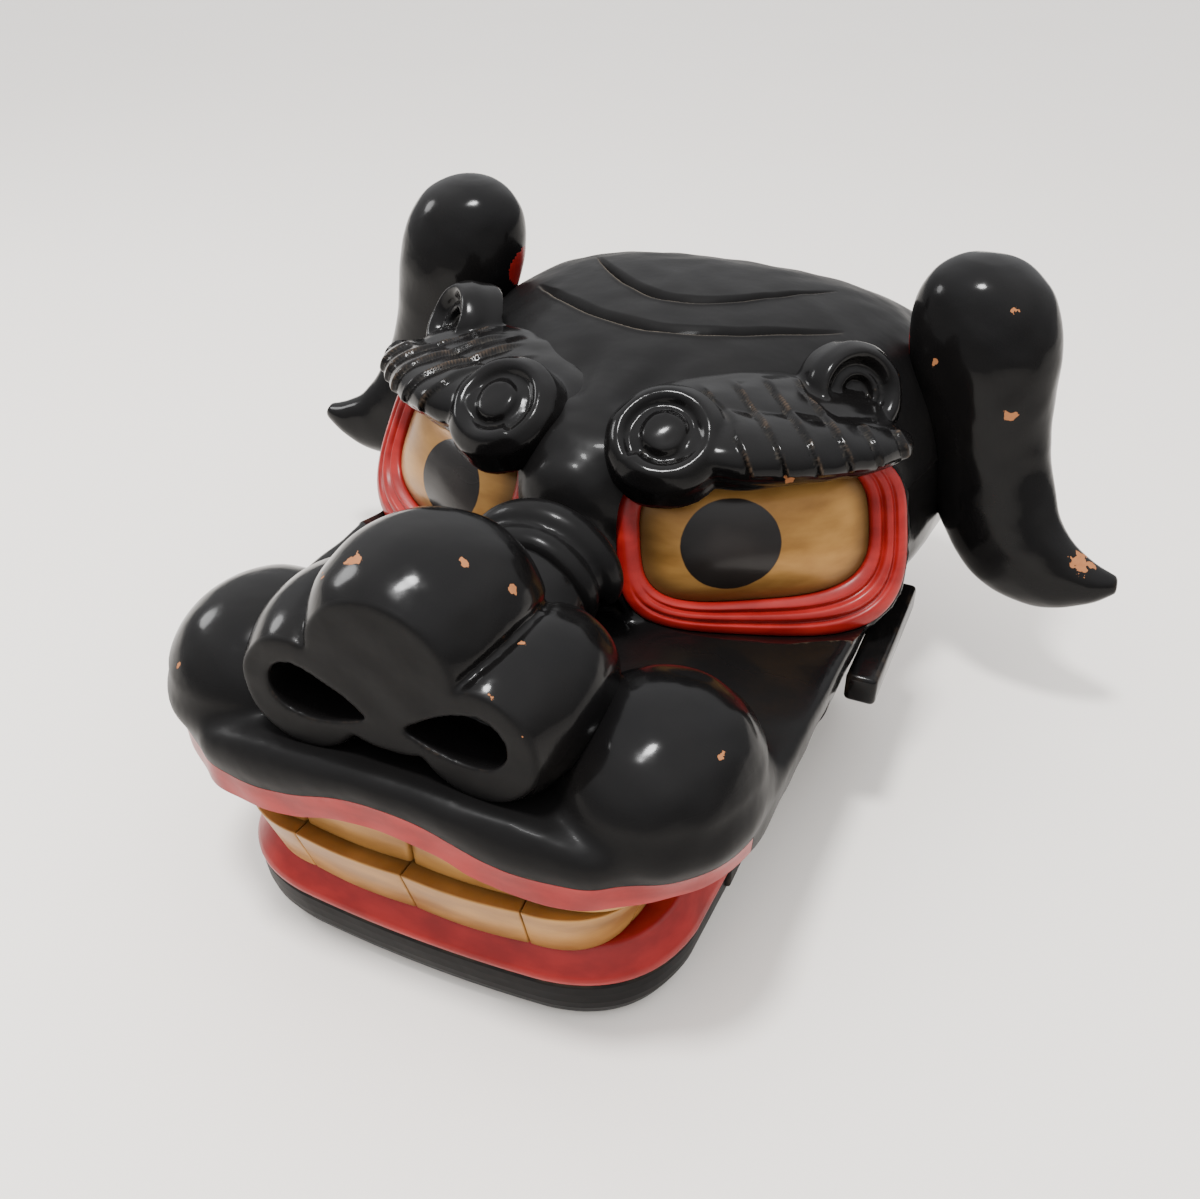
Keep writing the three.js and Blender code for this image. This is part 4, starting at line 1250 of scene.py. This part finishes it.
# %% Dress the other pieces
EAR_FACET = {"at": (128, 160, 225), "radii": (9, 17, 13)}
MOUTH_FLOOR = {"low": 14, "half": 100, "front_y": -190}
flat_nose = smooth_step(NOSE_FACE_Y + 3, NOSE_FACE_Y + 0.5, mesh_points(nose)[:, 1] / MM)
dress(nose, [black], "head", [], flat_nose)
dress(nose_rolls, [black], "head", [], np.full(len(nose_rolls.data.vertices), 0.5))
for brow in (brow_left, brow_right):
    dress(brow, [black], "head", [])
dress(lip, [red], "head", ["upper_lip"])
dress(gold_upper, [gold], "head", ["upper_teeth"])
dress(gold_lower, [gold], "jaw", ["lower_teeth"])
dress(jaw, [black, stained], "jaw", ["lower_jaw"], np.ones(len(jaw.data.vertices)))
x, y, z = face_middles(jaw).T
within = np.abs(x - JAW["shift"]) < MOUTH_FLOOR["half"]
second_slot(jaw, (z > MOUTH_FLOOR["low"]) & within & (y > MOUTH_FLOOR["front_y"]))
dress(jaw_lip, [red], "jaw", ["jaw_lip"])
for name, side, made in (("left", 1, ears[0]), ("right", -1, ears[1])):
    dress(made, [black, red], "head", [f"ear_{name}"])
    middles = face_middles(made) * np.array([side, 1, 1])
    scoop_at, facet_at = (lowered(form["at"], EAR_DROP[name]) for form in (EAR_SCOOP, EAR_FACET))
    scooped = egg_value(middles, scoop_at, np.array(EAR_SCOOP["radii"]) * 1.02) < 0
    facet = egg_value(middles, facet_at, EAR_FACET["radii"]) < 0
    second_slot(made, scooped | facet)
for name, rim, ball, strip in zip(("left", "right"), rims, balls, battens):
    dress(rim, [red], "head", [f"eye_rim_{name}"])
    dress(ball, [gold_eye], "head", [f"eyeball_{name}"])
    dress(strip, [black], "head", [f"batten_{name}"])

# %% [markdown]
# The pupil is painted on: each point of the gold ball stores how far it is from the pupil's middle,
# in pupil widths, and the material turns black where that number is below one. The gold is darker
# near the rim. Ear pegs and jaw pins keep the CAD's mesh and are bare wood.

# %% Pupils and the small parts kept from the CAD
PUPIL = {"along": -16, "up": -5, "half_wide": 26, "half_tall": 24}
BEHIND = 3
for side, ball in ((1, balls[0]), (-1, balls[1])):
    own = (mesh_points(ball) / MM * np.array([side, 1, 1]) - EYE_AT) @ EYE_MATRIX
    wide = (own[:, 0] - PUPIL["along"]) / PUPIL["half_wide"]
    tall = (own[:, 2] - PUPIL["up"]) / PUPIL["half_tall"]
    store(ball, "pupil", np.where(own[:, 1] < 0, np.sqrt(wide ** 2 + tall ** 2), BEHIND))
    # The hollow number of the eye is high near the rim, so the gold is darker there.
    near_rim = (np.abs(own[:, 0] / BALL["left"]) ** 3 + np.abs(own[:, 2] / BALL["high"]) ** 3) ** (1 / 3)
    hollow_mark = smooth_step(0.78, 1.02, near_rim).astype(np.float32)
    ball.data.attributes["hollow_mark"].data.foreach_set("value", hollow_mark)
for name in ("ear_peg_left", "ear_peg_right", "jaw_pin_left", "jaw_pin_right"):
    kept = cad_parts[name]
    kept.data.materials.clear()
    kept.data.materials.append(wood)
print("kept from the CAD: ear pegs and jaw pins")

# %% [markdown]
# The stage is a plain pale floor under a pale room that is brighter overhead, which gives the soft
# light. A small lamp above the nose makes the sharp spots on the lacquer, and one at the side lights
# the ear. The camera stands where the photographer stood, a little above and to the right of the nose.

# %% Stage, lights and camera
def pale_floor():
    made, tree, shader = new_material("pale floor")
    color = mixed(tree, noise(tree, 3, 3), (0.92, 0.865, 0.80), (0.95, 0.90, 0.84))
    wire(tree, shader, Base_Color=color, Roughness=0.45)
    return made


bm = bmesh.new()
bmesh.ops.create_grid(bm, x_segments=1, y_segments=1, size=6)
floor = object_from(bm, "floor")
floor.data.materials.append(pale_floor())


def soft_light(name, at, size, energy, aim=(0, -0.05, 0.12)):
    lamp = bpy.data.lights.new(name, "AREA")
    lamp.shape, lamp.size, lamp.energy = "DISK", size, energy
    made = bpy.data.objects.new(name, lamp)
    made.location = at
    made.rotation_euler = (Vector(aim) - Vector(at)).to_track_quat("-Z", "Y").to_euler()
    bpy.context.scene.collection.objects.link(made)


soft_light("key light", (-0.05, -0.5, 1.9), 0.3, 42)
soft_light("side light", (-1.5, 0.0, 0.9), 0.4, 7)
world = bpy.data.worlds.new("room")
world.use_nodes = True
room = world.node_tree
looking = add(room, "ShaderNodeTexCoord").outputs["Generated"]
way_up = add(room, "ShaderNodeSeparateXYZ", Vector=looking).outputs["Z"]
glow = plus(room, times(room, ramp(room, way_up, -0.1, 1.0), 1.8), 0.55)
wire(room, room.nodes["Background"], Color=(0.98, 0.985, 1.0, 1), Strength=glow)
bpy.context.scene.world = world

lens = bpy.data.cameras.new("camera")
lens.sensor_width, lens.lens, lens.clip_start = 36, 36, 0.01
camera = bpy.data.objects.new("camera", lens)
camera.location = (0.236, -0.535, 0.487)
camera.rotation_euler = (math.radians(56), 0, math.radians(24))
bpy.context.scene.collection.objects.link(camera)
bpy.context.scene.camera = camera
print("camera at", tuple(round(v, 3) for v in camera.location))
